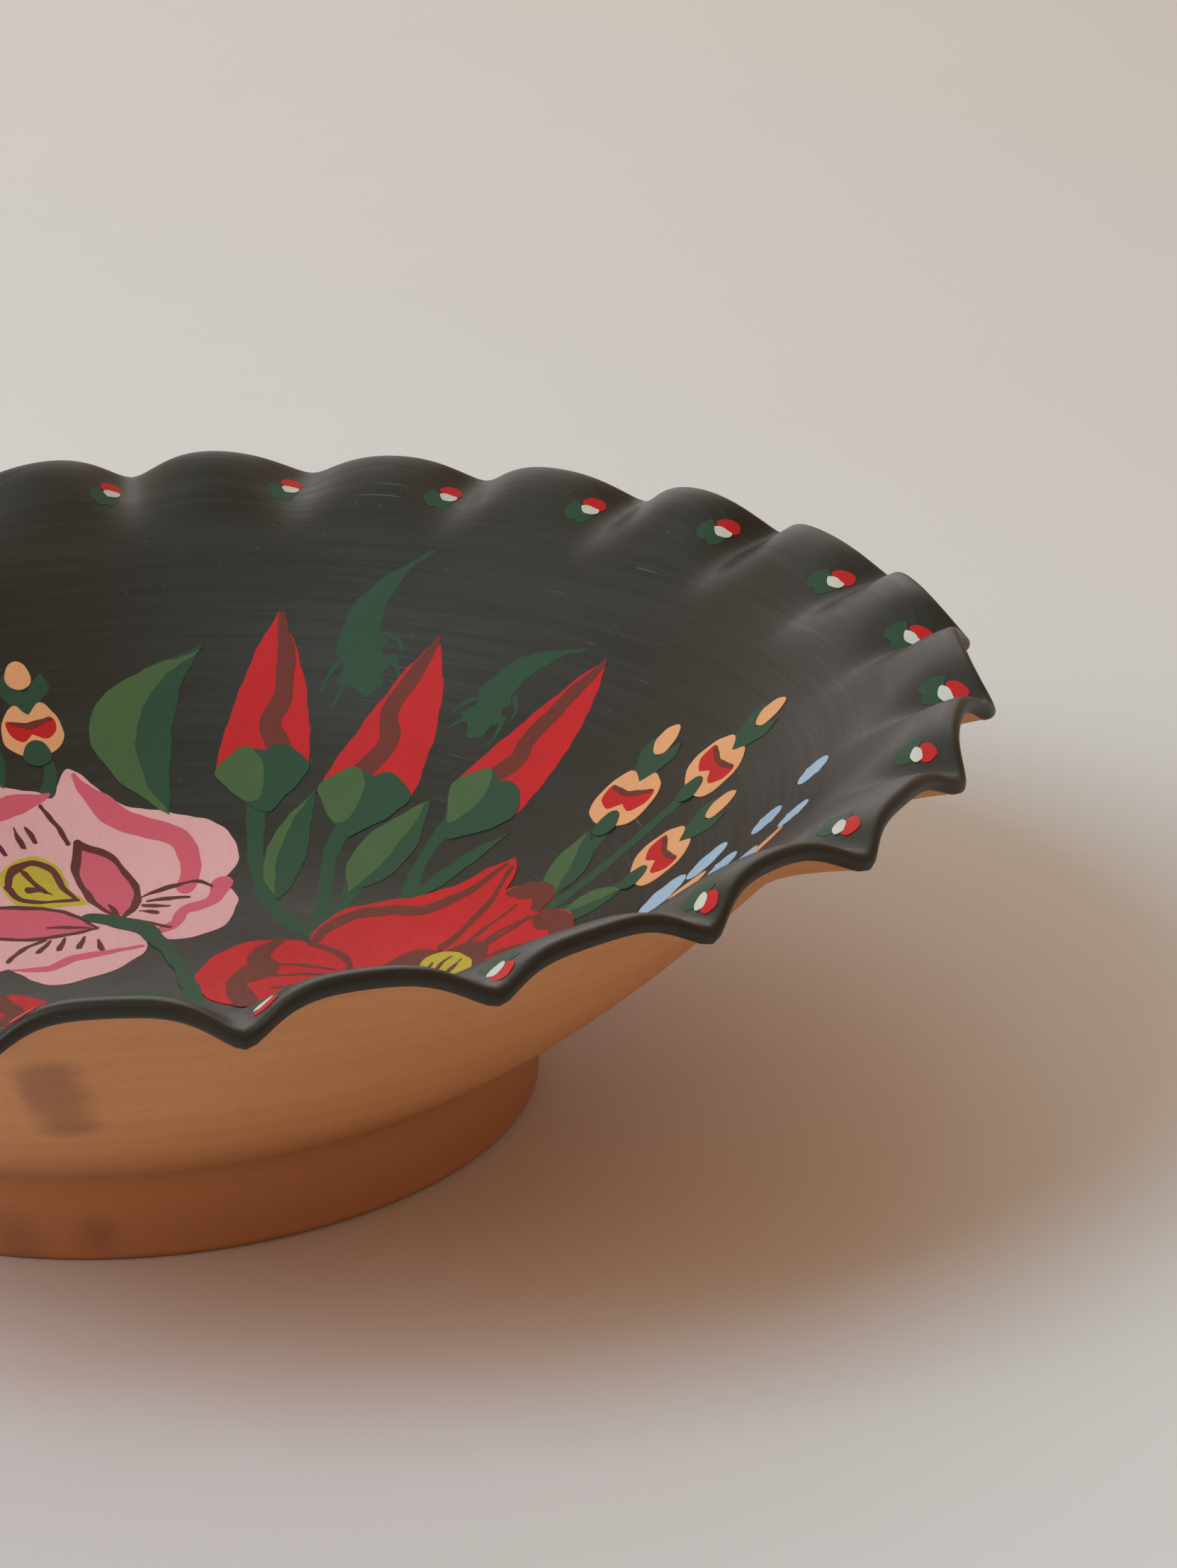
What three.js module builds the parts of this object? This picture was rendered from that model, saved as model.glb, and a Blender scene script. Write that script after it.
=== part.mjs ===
// A wheel-thrown earthenware bowl with a fluted rim, painted black inside, standing on a foot ring.
// Millimetres, +Z up. The origin is on the bowl's axis, on the surface that it stands on,
// and the low corner between two flutes points along +Y.
import * as THREE from "three";
import { mergeGeometries } from "three/addons/utils/BufferGeometryUtils.js";

// ---- Driving dimensions ----
const rimRadius = 125; // axis to the edge of the lip, at a low corner between two flutes
const rimHeight = 58.4; // table to the top of the lip, at the same corner
const lipThickness = 2.2;
const lipSlope = 11; // degrees above level at which the lip flares out
const flareWidth = 16; // from the shoulder, where the wall gives way, to the edge of the lip
const shoulderRounding = 7; // how far the rounding runs to each side of the shoulder
const wallThickness = 5; // at the foot of the wall; it thins evenly to the lip
const wallSlopeLow = 30; // degrees above level at which the wall leaves the foot
const wallSlopeHigh = 38; // degrees above level at which the wall reaches the shoulder
const wallCarry = 20; // how far the wall holds each of those slopes

const fluteCount = 25;
const fluteRise = 5.2; // how much higher a flute's crown stands than its low corners
const flutePull = 4; // how much nearer the axis the crown is
const fluteReach = 27; // how far in from the lip the flutes run
const fluteLean = 0.2; // how far the crown leans to one side, against half a flute
const fluteSoftness = 0.25; // 0 would crease the low corners

const floorFlatRadius = 30; // the level middle of the floor
const floorThickness = 5;

const footRadius = 57;
const footRingHeight = 6;
const footRingWidth = 9;
const footEdgeRadius = 1.4; // the rounding of the ring where it stands
const neckHeight = 12.4; // table to the corner between the foot and the wall
const neckRounding = 4;

const coatThickness = 0.5;
const coatGap = 0.3; // clearance between the coat and the clay
const coatLap = 1; // how far the coat runs back under the lip

// ---- How finely the round shapes are faceted ----
const facetsPerFlute = 5;
const ringFacets = 75;
const wallSteps = 6;
const shoulderSteps = 2;
const lipSteps = 3;
const neckSteps = 2;
const floorSteps = 3;

const upright = 90;
const onAxis = 0;

const point = (radius, height) => new THREE.Vector2(radius, height);
const heading = (slope) =>
  point(Math.cos(THREE.MathUtils.degToRad(slope)), Math.sin(THREE.MathUtils.degToRad(slope)));

/** The point a distance away from another, in the direction of a slope in degrees. */
const from = (start, slope, distance) =>
  start.clone().add(heading(slope).multiplyScalar(distance));

/** A corner between two slopes, rounded over the same distance to each side. */
function roundedCorner(corner, slopeBefore, slopeAfter, reach) {
  return new THREE.QuadraticBezierCurve(
    from(corner, slopeBefore, -reach),
    corner,
    from(corner, slopeAfter, reach),
  );
}

/** An outline moved to its left by a distance that may change with the radius. */
function moved(outline, distanceAt) {
  return outline.map((here, i) => {
    const before = outline[Math.max(i - 1, 0)];
    const after = outline[Math.min(i + 1, outline.length - 1)];
    const along = after.clone().sub(before).setLength(distanceAt(here.x));
    return point(here.x === onAxis ? onAxis : here.x - along.y, here.y + along.x);
  });
}

// ---- The bowl's half section, as points (radius, height) from the foot round to the axis ----

const lipCentre = point(rimRadius - lipThickness / 2, rimHeight - lipThickness / 2);
const lipUnderside = from(lipCentre, lipSlope - upright, lipThickness / 2);
const coatEnd = from(lipUnderside, lipSlope, -coatLap);

const neck = roundedCorner(point(footRadius, neckHeight), upright, wallSlopeLow, neckRounding);

/** The outside of the wall, the shoulder and the underside of the lip, to where the edge begins. */
function outsidePoints() {
  const shoulderCorner = from(lipUnderside, lipSlope, -flareWidth);
  const shoulder = roundedCorner(shoulderCorner, wallSlopeHigh, lipSlope, shoulderRounding);
  const wall = new THREE.CubicBezierCurve(
    neck.v2,
    from(neck.v2, wallSlopeLow, wallCarry),
    from(shoulder.v0, wallSlopeHigh, -wallCarry),
    shoulder.v0,
  );
  const rounding = shoulder.getPoints(shoulderSteps).slice(1);
  return [...wall.getPoints(wallSteps), ...rounding, coatEnd, lipUnderside];
}

/** The half round edge of the lip, between its underside and its top. */
function lipPoints() {
  return Array.from({ length: lipSteps - 1 }, (_, i) =>
    from(lipCentre, lipSlope - upright + (180 * (i + 1)) / lipSteps, lipThickness / 2),
  );
}

/** The inside of the wall, from the lip down to the floor. */
function insidePoints(outsideOfWall) {
  const thicknessAt = (radius) =>
    THREE.MathUtils.mapLinear(radius, footRadius, rimRadius, wallThickness, lipThickness);
  return moved(outsideOfWall, thicknessAt).reverse();
}

/** The floor, from the inside of the wall down to the level middle and in to the axis. */
function floorPoints(wallEnd) {
  const level = footRingHeight + floorThickness;
  const fall = (wallEnd.y - level) / heading(wallSlopeLow).y;
  const corner = from(wallEnd, wallSlopeLow, -fall);
  const rounding = new THREE.QuadraticBezierCurve(wallEnd, corner, point(floorFlatRadius, level));
  return [...rounding.getPoints(floorSteps).slice(1), point(onAxis, level)];
}

const outside = outsidePoints();
const lip = lipPoints();
const inside = insidePoints(outside);
const floor = floorPoints(inside.at(-1));

// ---- The flutes ----

/** 0 at a low corner and 1 at a flute's crown, for an angle in radians about the axis from +X. */
function fluteShape(angle) {
  const turn = ((Math.PI / 2 - angle) * fluteCount) / (2 * Math.PI);
  const leaning = turn + (fluteLean * Math.sin(2 * Math.PI * turn)) / (2 * Math.PI);
  const softened = (height) => Math.hypot(height, fluteSoftness) - fluteSoftness;
  return softened(Math.sin(Math.PI * leaning)) / softened(1);
}

/** Lifts and draws in each corner of a turned solid by its place in the flutes. */
function fluted(geometry) {
  const corners = geometry.getAttribute("position");
  const spot = new THREE.Vector3();
  for (let i = 0; i < corners.count; i += 1) {
    spot.fromBufferAttribute(corners, i);
    const radius = Math.hypot(spot.x, spot.y);
    const angle = Math.atan2(spot.y, spot.x);
    const strength = THREE.MathUtils.smoothstep(radius, rimRadius - fluteReach, rimRadius);
    const crown = strength * fluteShape(angle);
    const drawnIn = radius - flutePull * crown;
    const raised = spot.z + fluteRise * crown;
    corners.setXYZ(i, drawnIn * Math.cos(angle), drawnIn * Math.sin(angle), raised);
  }
  geometry.computeVertexNormals();
  return geometry;
}

/** An outline turned about the bowl's axis, with one row of its corners on +Y. */
function turned(outline, facets) {
  return new THREE.LatheGeometry(outline, facets, Math.PI).rotateX(Math.PI / 2);
}

/** A surface with its faces turned round. */
function insideOut(geometry) {
  geometry.getIndex().array.reverse();
  return geometry;
}

/**
 * A skin over a turned surface. Both sides are turned from outlines that run the same way as the
 * surface's own, so that their facets lie parallel to it however steep the flutes are.
 */
function skin(covered, gap, thickness, facets) {
  const near = moved(covered, () => -gap);
  const far = moved(covered, () => -gap - thickness);
  const edge = [near[0], far[0]];
  return mergeGeometries([
    insideOut(turned(near, facets)),
    turned(edge, facets),
    turned(far, facets),
  ]);
}

function piece(name, geometry, material) {
  const mesh = new THREE.Mesh(geometry, material);
  mesh.name = name;
  return mesh;
}

// ---- The pieces ----

const clay = new THREE.MeshStandardMaterial({ color: 0xa5653f, roughness: 0.75, metalness: 0 });
const paint = new THREE.MeshStandardMaterial({ color: 0x1f1d1b, roughness: 0.38, metalness: 0 });
const bowlFacets = fluteCount * facetsPerFlute;

/** The thrown bowl: base, neck, wall, lip and floor. */
function bowlBody() {
  const base = [point(onAxis, footRingHeight), point(footRadius, footRingHeight)];
  const neckPoints = neck.getPoints(neckSteps).slice(0, -1);
  const outline = [...base, ...neckPoints, ...outside, ...lip, ...inside, ...floor];
  return piece("bowl_body", fluted(turned(outline, bowlFacets)), clay);
}

/** The ring that the bowl stands on, its flat top seated on the bowl's base. */
function footRing() {
  const inner = footRadius - footRingWidth;
  const outline = [
    point(inner, footRingHeight),
    point(inner, footEdgeRadius),
    point(inner + footEdgeRadius, 0),
    point(footRadius - footEdgeRadius, 0),
    point(footRadius, footEdgeRadius),
    point(footRadius, footRingHeight),
    point(inner, footRingHeight),
  ];
  return piece("foot_ring", turned(outline, ringFacets), clay);
}

/** The black ground painted over the inside and round the lip. */
function blackCoat() {
  const covered = [coatEnd, lipUnderside, ...lip, ...inside, ...floor];
  return piece("black_coat", fluted(skin(covered, coatGap, coatThickness, bowlFacets)), paint);
}

const bowl = new THREE.Group();
bowl.add(bowlBody(), footRing(), blackCoat());

export default bowl;
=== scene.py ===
"""A hand-painted earthenware bowl with a fluted rim, standing on a pale studio floor.

The bowl's own sizes are in millimetres, and each mesh is scaled to metres as it is made. The painting
is drawn on a flat chart: the distance from the chart's centre is the distance along the inside of the
bowl from its middle, and the direction is the direction about the bowl's axis.
"""
import logging
import math
from dataclasses import dataclass, field
from enum import Enum
from typing import Protocol

import bpy
import numpy as np
from mathutils import Matrix, Vector
from mathutils.geometry import delaunay_2d_cdt


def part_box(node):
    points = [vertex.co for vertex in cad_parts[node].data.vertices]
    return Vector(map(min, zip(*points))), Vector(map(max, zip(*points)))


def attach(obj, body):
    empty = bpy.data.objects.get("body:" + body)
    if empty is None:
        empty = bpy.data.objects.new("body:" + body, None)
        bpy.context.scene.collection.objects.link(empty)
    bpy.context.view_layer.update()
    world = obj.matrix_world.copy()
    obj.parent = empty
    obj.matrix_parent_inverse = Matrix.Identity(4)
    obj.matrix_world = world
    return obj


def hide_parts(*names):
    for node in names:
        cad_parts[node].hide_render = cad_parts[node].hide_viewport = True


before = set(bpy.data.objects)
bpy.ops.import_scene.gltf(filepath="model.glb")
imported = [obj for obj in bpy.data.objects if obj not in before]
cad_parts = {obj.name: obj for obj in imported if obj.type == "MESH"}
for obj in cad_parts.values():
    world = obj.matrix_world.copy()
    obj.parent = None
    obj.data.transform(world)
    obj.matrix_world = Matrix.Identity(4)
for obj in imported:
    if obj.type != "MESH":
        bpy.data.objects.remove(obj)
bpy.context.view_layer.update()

METRES = 0.001  # the metres in a millimetre
SMOOTH_BELOW = math.radians(48)  # steeper edges are left sharp
HAND = 20  # the seed of the waver that a steady hand still leaves
BODY = "root"  # the one body that every piece rides on

log = logging.getLogger("bowl")

Points = tuple[tuple[float, float], ...]
Place = tuple[float, float, float]
Colour = tuple[float, float, float]


class Paint(Enum):
    """The colours on the bowl, each under the name of its material slot."""

    CLAY = "terracotta"
    BLACK = "black_paint"
    RED = "red_paint"
    DARK_RED = "dark_red_paint"
    LIGHT_GREEN = "light_green_paint"
    DARK_GREEN = "dark_green_paint"
    PINK = "pink_paint"
    DEEP_PINK = "deep_pink_paint"
    BROWN = "brown_paint"
    YELLOW = "yellow_paint"
    PEACH = "peach_paint"
    BLUE = "blue_paint"
    WHITE = "white_paint"


# ---- Shader graphs ----


class Signal:
    """A value in a shader graph that can be used in sums like a number."""

    def __init__(self, graph: "ShaderGraph", socket: bpy.types.NodeSocket) -> None:
        """Wraps an output socket of a graph."""
        self.graph = graph
        self.socket = socket

    def _math(self, operation: str, first: "Signal | float", second: "Signal | float") -> "Signal":
        """Adds one Math node.

        Args:
            operation: Blender's name for the operation.
            first: The left operand.
            second: The right operand.

        Returns:
            The node's result.
        """
        node = self.graph.node("ShaderNodeMath", {"operation": operation}, {0: first, 1: second})
        return Signal(self.graph, node.outputs[0])

    def __add__(self, other: "Signal | float") -> "Signal":
        """Adds a value."""
        return self._math("ADD", self, other)

    __radd__ = __add__

    def __sub__(self, other: "Signal | float") -> "Signal":
        """Takes a value away."""
        return self._math("SUBTRACT", self, other)

    def __rsub__(self, other: "Signal | float") -> "Signal":
        """Is taken away from a value."""
        return self._math("SUBTRACT", other, self)

    def __mul__(self, other: "Signal | float") -> "Signal":
        """Multiplies by a value."""
        return self._math("MULTIPLY", self, other)

    __rmul__ = __mul__

    def __truediv__(self, other: "Signal | float") -> "Signal":
        """Divides by a value."""
        return self._math("DIVIDE", self, other)

    def __pow__(self, other: "Signal | float") -> "Signal":
        """Raises to a power."""
        return self._math("POWER", self, other)

    def clamped(self) -> "Signal":
        """Holds the value between 0 and 1."""
        return self._math("MINIMUM", self._math("MAXIMUM", self, 0.0), 1.0)


class ShaderGraph:
    """The nodes of one material."""

    def __init__(self, name: str) -> None:
        """Starts an empty material.

        Args:
            name: The material's name.
        """
        self.material = bpy.data.materials.new(name)
        self.material.use_nodes = True
        self.tree = self.material.node_tree
        self.tree.nodes.clear()

    def node(self, kind: str, settings: dict[str, object], inputs: dict[str | int, object]) -> bpy.types.Node:
        """Adds one node.

        Args:
            kind: The node's type.
            settings: Its own settings, set first.
            inputs: The values or links of its sockets, by name or number.

        Returns:
            The node.
        """
        made = self.tree.nodes.new(kind)
        for name, value in settings.items():
            setattr(made, name, value)
        for name, value in inputs.items():
            if isinstance(value, Signal):
                self.tree.links.new(value.socket, made.inputs[name])
            else:
                made.inputs[name].default_value = value
        return made

    def out(self, node: bpy.types.Node, name: str | int) -> Signal:
        """One of a node's results."""
        return Signal(self, node.outputs[name])

    def place(self) -> Signal:
        """The place on the object, in metres from the middle of the bowl's foot."""
        return self.out(self.node("ShaderNodeTexCoord", {}, {}), "Object")

    def parts(self, vector: Signal) -> tuple[Signal, Signal, Signal]:
        """The three parts of a vector."""
        node = self.node("ShaderNodeSeparateXYZ", {}, {0: vector})
        return self.out(node, 0), self.out(node, 1), self.out(node, 2)

    def joined(self, x: Signal | float, y: Signal | float, z: Signal | float) -> Signal:
        """A vector from its three parts."""
        return self.out(self.node("ShaderNodeCombineXYZ", {}, {0: x, 1: y, 2: z}), 0)

    def noise(self, vector: Signal, scale: float, detail: float = 3.0, roughness: float = 0.5) -> Signal:
        """Soft noise about 0.5.

        Args:
            vector: Where it is read.
            scale: Features for each unit of the vector.
            detail: How many finer layers it has.
            roughness: How strong those are.

        Returns:
            The noise's value.
        """
        sockets = {"Vector": vector, "Scale": scale, "Detail": detail, "Roughness": roughness}
        return self.out(self.node("ShaderNodeTexNoise", {}, sockets), 0)

    def cells(self, vector: Signal, scale: float) -> Signal:
        """The distance to the nearest of many scattered points, in cells."""
        return self.out(self.node("ShaderNodeTexVoronoi", {}, {"Vector": vector, "Scale": scale}), "Distance")

    def distance(self, vector: Signal, middle: Place) -> Signal:
        """How far a place is from a fixed one."""
        node = self.node("ShaderNodeVectorMath", {"operation": "DISTANCE"}, {0: vector, 1: middle})
        return self.out(node, "Value")

    def between(self, value: Signal, low: float, high: float) -> Signal:
        """How far a value is from low to high, held between 0 and 1."""
        return ((value - low) / (high - low)).clamped()

    def mixed(self, factor: Signal | float, first: Signal | Colour, second: Signal | Colour) -> Signal:
        """Mixes two colours.

        Args:
            factor: 0 for the first colour and 1 for the second.
            first: A colour, or a link to one.
            second: A colour, or a link to one.

        Returns:
            The mixed colour.
        """
        sides = [side if isinstance(side, Signal) else (*side, 1.0) for side in (first, second)]
        node = self.node("ShaderNodeMix", {"data_type": "RGBA"}, {"Factor": factor, 6: sides[0], 7: sides[1]})
        return self.out(node, 2)

    def bump(self, height: Signal, depth: float, strength: float) -> Signal:
        """A normal from a height, whose full range is a depth in metres."""
        sockets = {"Height": height, "Distance": depth, "Strength": strength}
        return self.out(self.node("ShaderNodeBump", {}, sockets), 0)

    def finish(self, settings: dict[str, object]) -> bpy.types.Material:
        """Ends the graph in a Principled BSDF with these sockets.

        Args:
            settings: The values or links of the shader's sockets.

        Returns:
            The material.
        """
        shader = self.node("ShaderNodeBsdfPrincipled", {}, settings)
        self.node("ShaderNodeOutputMaterial", {}, {"Surface": self.out(shader, 0)})
        return self.material


# ---- Finishes ----


@dataclass(frozen=True)
class Stain:
    """A darker mark on the clay, in degrees about the axis and in millimetres."""

    angle: float
    out: float
    up: float
    size: float
    run: float = 0.0  # how far it ran down the wall
    fall: float = 45.0  # how steeply, in degrees
    overlap: float = 1.4  # how many soft spots make up a run as long as the mark's size

    def spots(self) -> list[Place]:
        """Spreads soft spots along the mark.

        Returns:
            Their places in metres, from where the mark starts to where it ends.
        """
        count = 1 + round(self.run / self.size * self.overlap)
        way = heading(self.angle)
        down = heading(self.fall)
        places = []
        for number in range(count):
            fallen = self.run * number / max(count - 1, 1)
            out = (self.out - fallen * down[0]) * METRES
            up = (self.up - fallen * down[1]) * METRES
            places.append((way[0] * out, way[1] * out, up))
        return places


@dataclass(frozen=True)
class ClayFinish:
    """Bare burnished terracotta with fine throwing lines, soft clouds, a few darker stains and painted shade
    low on the foot.
    """

    light: Colour = (0.680, 0.300, 0.118)
    middle: Colour = (0.620, 0.268, 0.102)
    dark: Colour = (0.300, 0.112, 0.050)
    stained: Colour = (0.170, 0.058, 0.026)
    roughness: float = 0.56
    painted_foot_shade: float = 0.6  # how far the foot is darkened by painted shade, which stands in for the shadow under the bowl
    painted_shade_height: float = 27.0  # up to where that fades out
    lining: float = 0.10  # how strongly the throwing lines darken it
    staining: float = 0.5  # and the stains
    graining: float = 0.2  # and the grain
    lines_apart: float = 1 / 420  # in metres
    cloud_size: float = 1 / 22
    grain_size: float = 1 / 900
    stains: tuple[Stain, ...] = (
        Stain(-95, 100, 48, 4.6, 19), Stain(-108, 57, 3, 5.0), Stain(-97, 57, 4, 3.6),
        Stain(20, 95, 38, 6, 12), Stain(75, 57, 6, 4.5), Stain(110, 76, 25, 5, 8),
        Stain(168, 100, 42, 6, 16), Stain(-150, 57, 5, 4),
    )

    def material(self) -> bpy.types.Material:
        """Builds the finish.

        Returns:
            The material.
        """
        graph = ShaderGraph(Paint.CLAY.value)
        place = graph.place()
        x, y, z = graph.parts(place)
        radius = (x * x + y * y) ** 0.5
        clouds = graph.noise(place, 1 / self.cloud_size, 4.0)
        grain = graph.noise(place, 1 / self.grain_size, 4.0, 0.65)
        up_the_wall = (z + radius * 0.7) * (1 / self.lines_apart)
        lines = graph.noise(graph.joined(x / radius * 0.35, y / radius * 0.35, up_the_wall), 1.0, 3.0)
        colour = graph.mixed(graph.between(clouds, 0.38, 0.62), self.light, self.middle)
        colour = graph.mixed(graph.between(lines, 0.42, 0.7) * self.lining, colour, self.dark)
        colour = graph.mixed(self._stained(graph, place) * self.staining, colour, self.stained)
        colour = graph.mixed(graph.between(grain, 0.56, 0.72) * self.graining, colour, self.dark)
        # Painted shade: the clay darkens towards the foot, standing in for the shadow under the bowl's
        # overhang.
        shaded = 1.0 - graph.between(z + (clouds - 0.5) * 0.01, 0.004, self.painted_shade_height * METRES)
        colour = graph.mixed(shaded * self.painted_foot_shade, colour, self.dark)
        rough = self.roughness + (clouds - 0.5) * 0.2 + (grain - 0.5) * 0.18
        normal = graph.bump(lines * 0.5 + grain * 0.5, 0.0003, 0.4)
        return graph.finish({"Base Color": colour, "Roughness": rough, "Normal": normal})

    def _stained(self, graph: ShaderGraph, place: Signal) -> Signal:
        """Where the stains are.

        Args:
            graph: The material's graph.
            place: The place on the object.

        Returns:
            1 on a stain and 0 off it, with soft uneven edges.
        """
        wander = (graph.noise(place, 160.0, 3.0) - 0.5) * 0.004
        clear: Signal | float = 1.0
        for stain in self.stains:
            full, faded = stain.size * 0.3 * METRES, stain.size * 1.1 * METRES
            for middle in stain.spots():
                away = graph.distance(place, middle) + wander
                clear = graph.between(away, full, faded) * clear
        return 1.0 - clear


@dataclass(frozen=True)
class BlackFinish:
    """Black gloss paint that a turning brush has laid in rings, with a little wear and dust."""

    ground: Colour = (0.0052, 0.0052, 0.0040)
    thin: Colour = (0.0180, 0.0172, 0.0140)
    dust: Colour = (0.20, 0.19, 0.17)
    roughness: float = 0.41
    gloss: float = 0.5
    gloss_tint: Colour = (1.0, 0.90, 0.76)
    lines_apart: float = 1 / 900  # in metres, from the middle outwards
    bands_apart: float = 1 / 150
    scratches_apart: float = 1 / 2600
    speck_gap: float = 1 / 420

    def material(self) -> bpy.types.Material:
        """Builds the finish.

        Returns:
            The material.
        """
        graph = ShaderGraph(Paint.BLACK.value)
        place = graph.place()
        x, y, _ = graph.parts(place)
        never_zero = 0.0001
        radius = (x * x + y * y) ** 0.5 + never_zero
        around_x, around_y = x / radius, y / radius

        def drawn_round(apart: float, often: float, detail: float, roughness: float = 0.5) -> Signal:
            """Noise in rings this far apart, which changes as often on its way round."""
            vector = graph.joined(around_x * often, around_y * often, radius * (1 / apart))
            return graph.noise(vector, 1.0, detail, roughness)

        fine = drawn_round(self.lines_apart, 2.2, 4.0, 0.6)
        broad = drawn_round(self.bands_apart, 1.1, 3.0)
        clouds = graph.noise(place, 30.0, 3.0)
        patches = graph.between(graph.noise(place, 45.0, 2.0), 0.5, 0.62)
        scratches = graph.between(drawn_round(self.scratches_apart, 9.0, 1.0), 0.72, 0.8) * patches
        specks = (1.0 - graph.between(graph.cells(place, 1 / self.speck_gap), 0.05, 0.1)) * patches
        colour = graph.mixed(graph.between(fine, 0.45, 0.75) * 0.55, self.ground, self.thin)
        colour = graph.mixed(graph.between(broad, 0.5, 0.8) * 0.4, colour, self.thin)
        colour = graph.mixed(scratches * 0.35 + specks * 0.25, colour, self.dust)
        rough = self.roughness + (fine - 0.5) * 0.22 + (broad - 0.5) * 0.16 + (clouds - 0.5) * 0.2
        normal = graph.bump(fine * 0.5 + broad * 0.5, 0.00022, 0.5)
        settings = {"Base Color": colour, "Roughness": rough.clamped(), "Normal": normal}
        gloss = {"Specular IOR Level": self.gloss, "Specular Tint": (*self.gloss_tint, 1.0)}
        return graph.finish(settings | gloss)


@dataclass(frozen=True)
class BrushFinish:
    """One colour of paint laid on with a soft brush, thinner in streaks and at random."""

    paint: Paint
    thick: Colour
    thin: Colour
    roughness: float = 0.5
    gloss: float = 0.22
    streaks: float = 0.5  # how far the thin places go towards the thin colour
    streak_width: float = 1 / 1100  # in metres, and a few times as long

    def material(self) -> bpy.types.Material:
        """Builds the finish.

        Returns:
            The material.
        """
        graph = ShaderGraph(self.paint.value)
        place = graph.place()
        x, y, z = graph.parts(place)
        along_streaks = 240.0
        drawn = graph.joined(x * (1 / self.streak_width), y * along_streaks, z * along_streaks)
        bristles = graph.noise(drawn, 1.0, 3.0, 0.6)
        clouds = graph.noise(place, 110.0, 3.0)
        mottle = graph.noise(place, 700.0, 3.0)
        thinness = graph.between(clouds, 0.4, 0.68) * 0.7 + graph.between(bristles, 0.45, 0.75) * 0.5
        colour = graph.mixed((thinness * self.streaks).clamped(), self.thick, self.thin)
        rough = self.roughness + (bristles - 0.5) * 0.2 + (mottle - 0.5) * 0.15
        normal = graph.bump(bristles * 0.6 + mottle * 0.4, 0.00012, 0.5)
        settings = {"Base Color": colour, "Roughness": rough.clamped(), "Normal": normal}
        return graph.finish(settings | {"Specular IOR Level": self.gloss})


@dataclass(frozen=True)
class FloorFinish:
    """A pale matt tabletop with hardly any grain."""

    pale: Colour = (0.68, 0.655, 0.63)
    worn: Colour = (0.65, 0.622, 0.595)

    def material(self) -> bpy.types.Material:
        """Builds the finish.

        Returns:
            The material.
        """
        graph = ShaderGraph("studio_floor")
        place = graph.place()
        colour = graph.mixed(graph.noise(place, 3.0, 2.0), self.pale, self.worn)
        rough = 0.7 + graph.noise(place, 40.0, 2.0) * 0.1
        return graph.finish({"Base Color": colour, "Roughness": rough})


class PaintBox:
    """Every finish of the bowl, each made once."""

    BRUSHED = (
        BrushFinish(Paint.RED, (0.52, 0.009, 0.010), (0.41, 0.009, 0.010)),
        BrushFinish(Paint.DARK_RED, (0.150, 0.026, 0.013), (0.105, 0.020, 0.012)),
        BrushFinish(Paint.LIGHT_GREEN, (0.062, 0.112, 0.034), (0.048, 0.092, 0.034)),
        BrushFinish(Paint.DARK_GREEN, (0.021, 0.062, 0.028), (0.030, 0.058, 0.032)),
        BrushFinish(Paint.PINK, (0.70, 0.365, 0.345), (0.64, 0.30, 0.29)),
        BrushFinish(Paint.DEEP_PINK, (0.58, 0.090, 0.125), (0.52, 0.11, 0.14)),
        BrushFinish(Paint.BROWN, (0.095, 0.018, 0.014), (0.16, 0.035, 0.028)),
        BrushFinish(Paint.YELLOW, (0.49, 0.37, 0.025), (0.40, 0.29, 0.022)),
        BrushFinish(Paint.PEACH, (0.72, 0.335, 0.145), (0.64, 0.27, 0.115)),
        BrushFinish(Paint.BLUE, (0.35, 0.46, 0.56), (0.23, 0.32, 0.41)),
        BrushFinish(Paint.WHITE, (0.60, 0.58, 0.49), (0.44, 0.43, 0.36)),
    )

    def __init__(self) -> None:
        """Makes the materials."""
        self.materials = {finish.paint: finish.material() for finish in self.BRUSHED}
        self.materials[Paint.CLAY] = ClayFinish().material()
        self.materials[Paint.BLACK] = BlackFinish().material()

    def dress(self, piece: bpy.types.Object, paint: Paint) -> None:
        """Gives a piece its finish and its place on the bowl's body.

        Args:
            piece: A piece of the bowl.
            paint: The finish that it takes.
        """
        piece.data.materials.append(self.materials[paint])
        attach(piece, BODY)


# ---- Meshes ----


def mesh_object(name: str, corners: np.ndarray, faces: list[tuple[int, ...]]) -> bpy.types.Object:
    """Makes a smooth-shaded mesh from corners in millimetres.

    Args:
        name: The object's name.
        corners: One row for each corner.
        faces: The corners of each face, anticlockwise as seen from outside.

    Returns:
        The object, linked to the scene.
    """
    mesh = bpy.data.meshes.new(name)
    mesh.from_pydata((corners * METRES).tolist(), [], faces)
    mesh.shade_smooth()
    mesh.set_sharp_from_angle(angle=SMOOTH_BELOW)
    made = bpy.data.objects.new(name, mesh)
    bpy.context.scene.collection.objects.link(made)
    return made


def heading(slope: float) -> np.ndarray:
    """The direction of a slope in degrees."""
    return np.array([math.cos(math.radians(slope)), math.sin(math.radians(slope))])


def bezier(handles: list[np.ndarray], steps: int) -> np.ndarray:
    """Points along a Bezier curve.

    Args:
        handles: Its ends and the handles between them.
        steps: How many steps it takes.

    Returns:
        One row for each point, both ends among them.
    """
    along = np.linspace(0.0, 1.0, steps + 1)[:, None]
    levels = [np.tile(handle, (steps + 1, 1)) for handle in handles]
    while len(levels) > 1:
        levels = [before * (1 - along) + after * along for before, after in zip(levels, levels[1:])]
    return levels[0]


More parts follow.
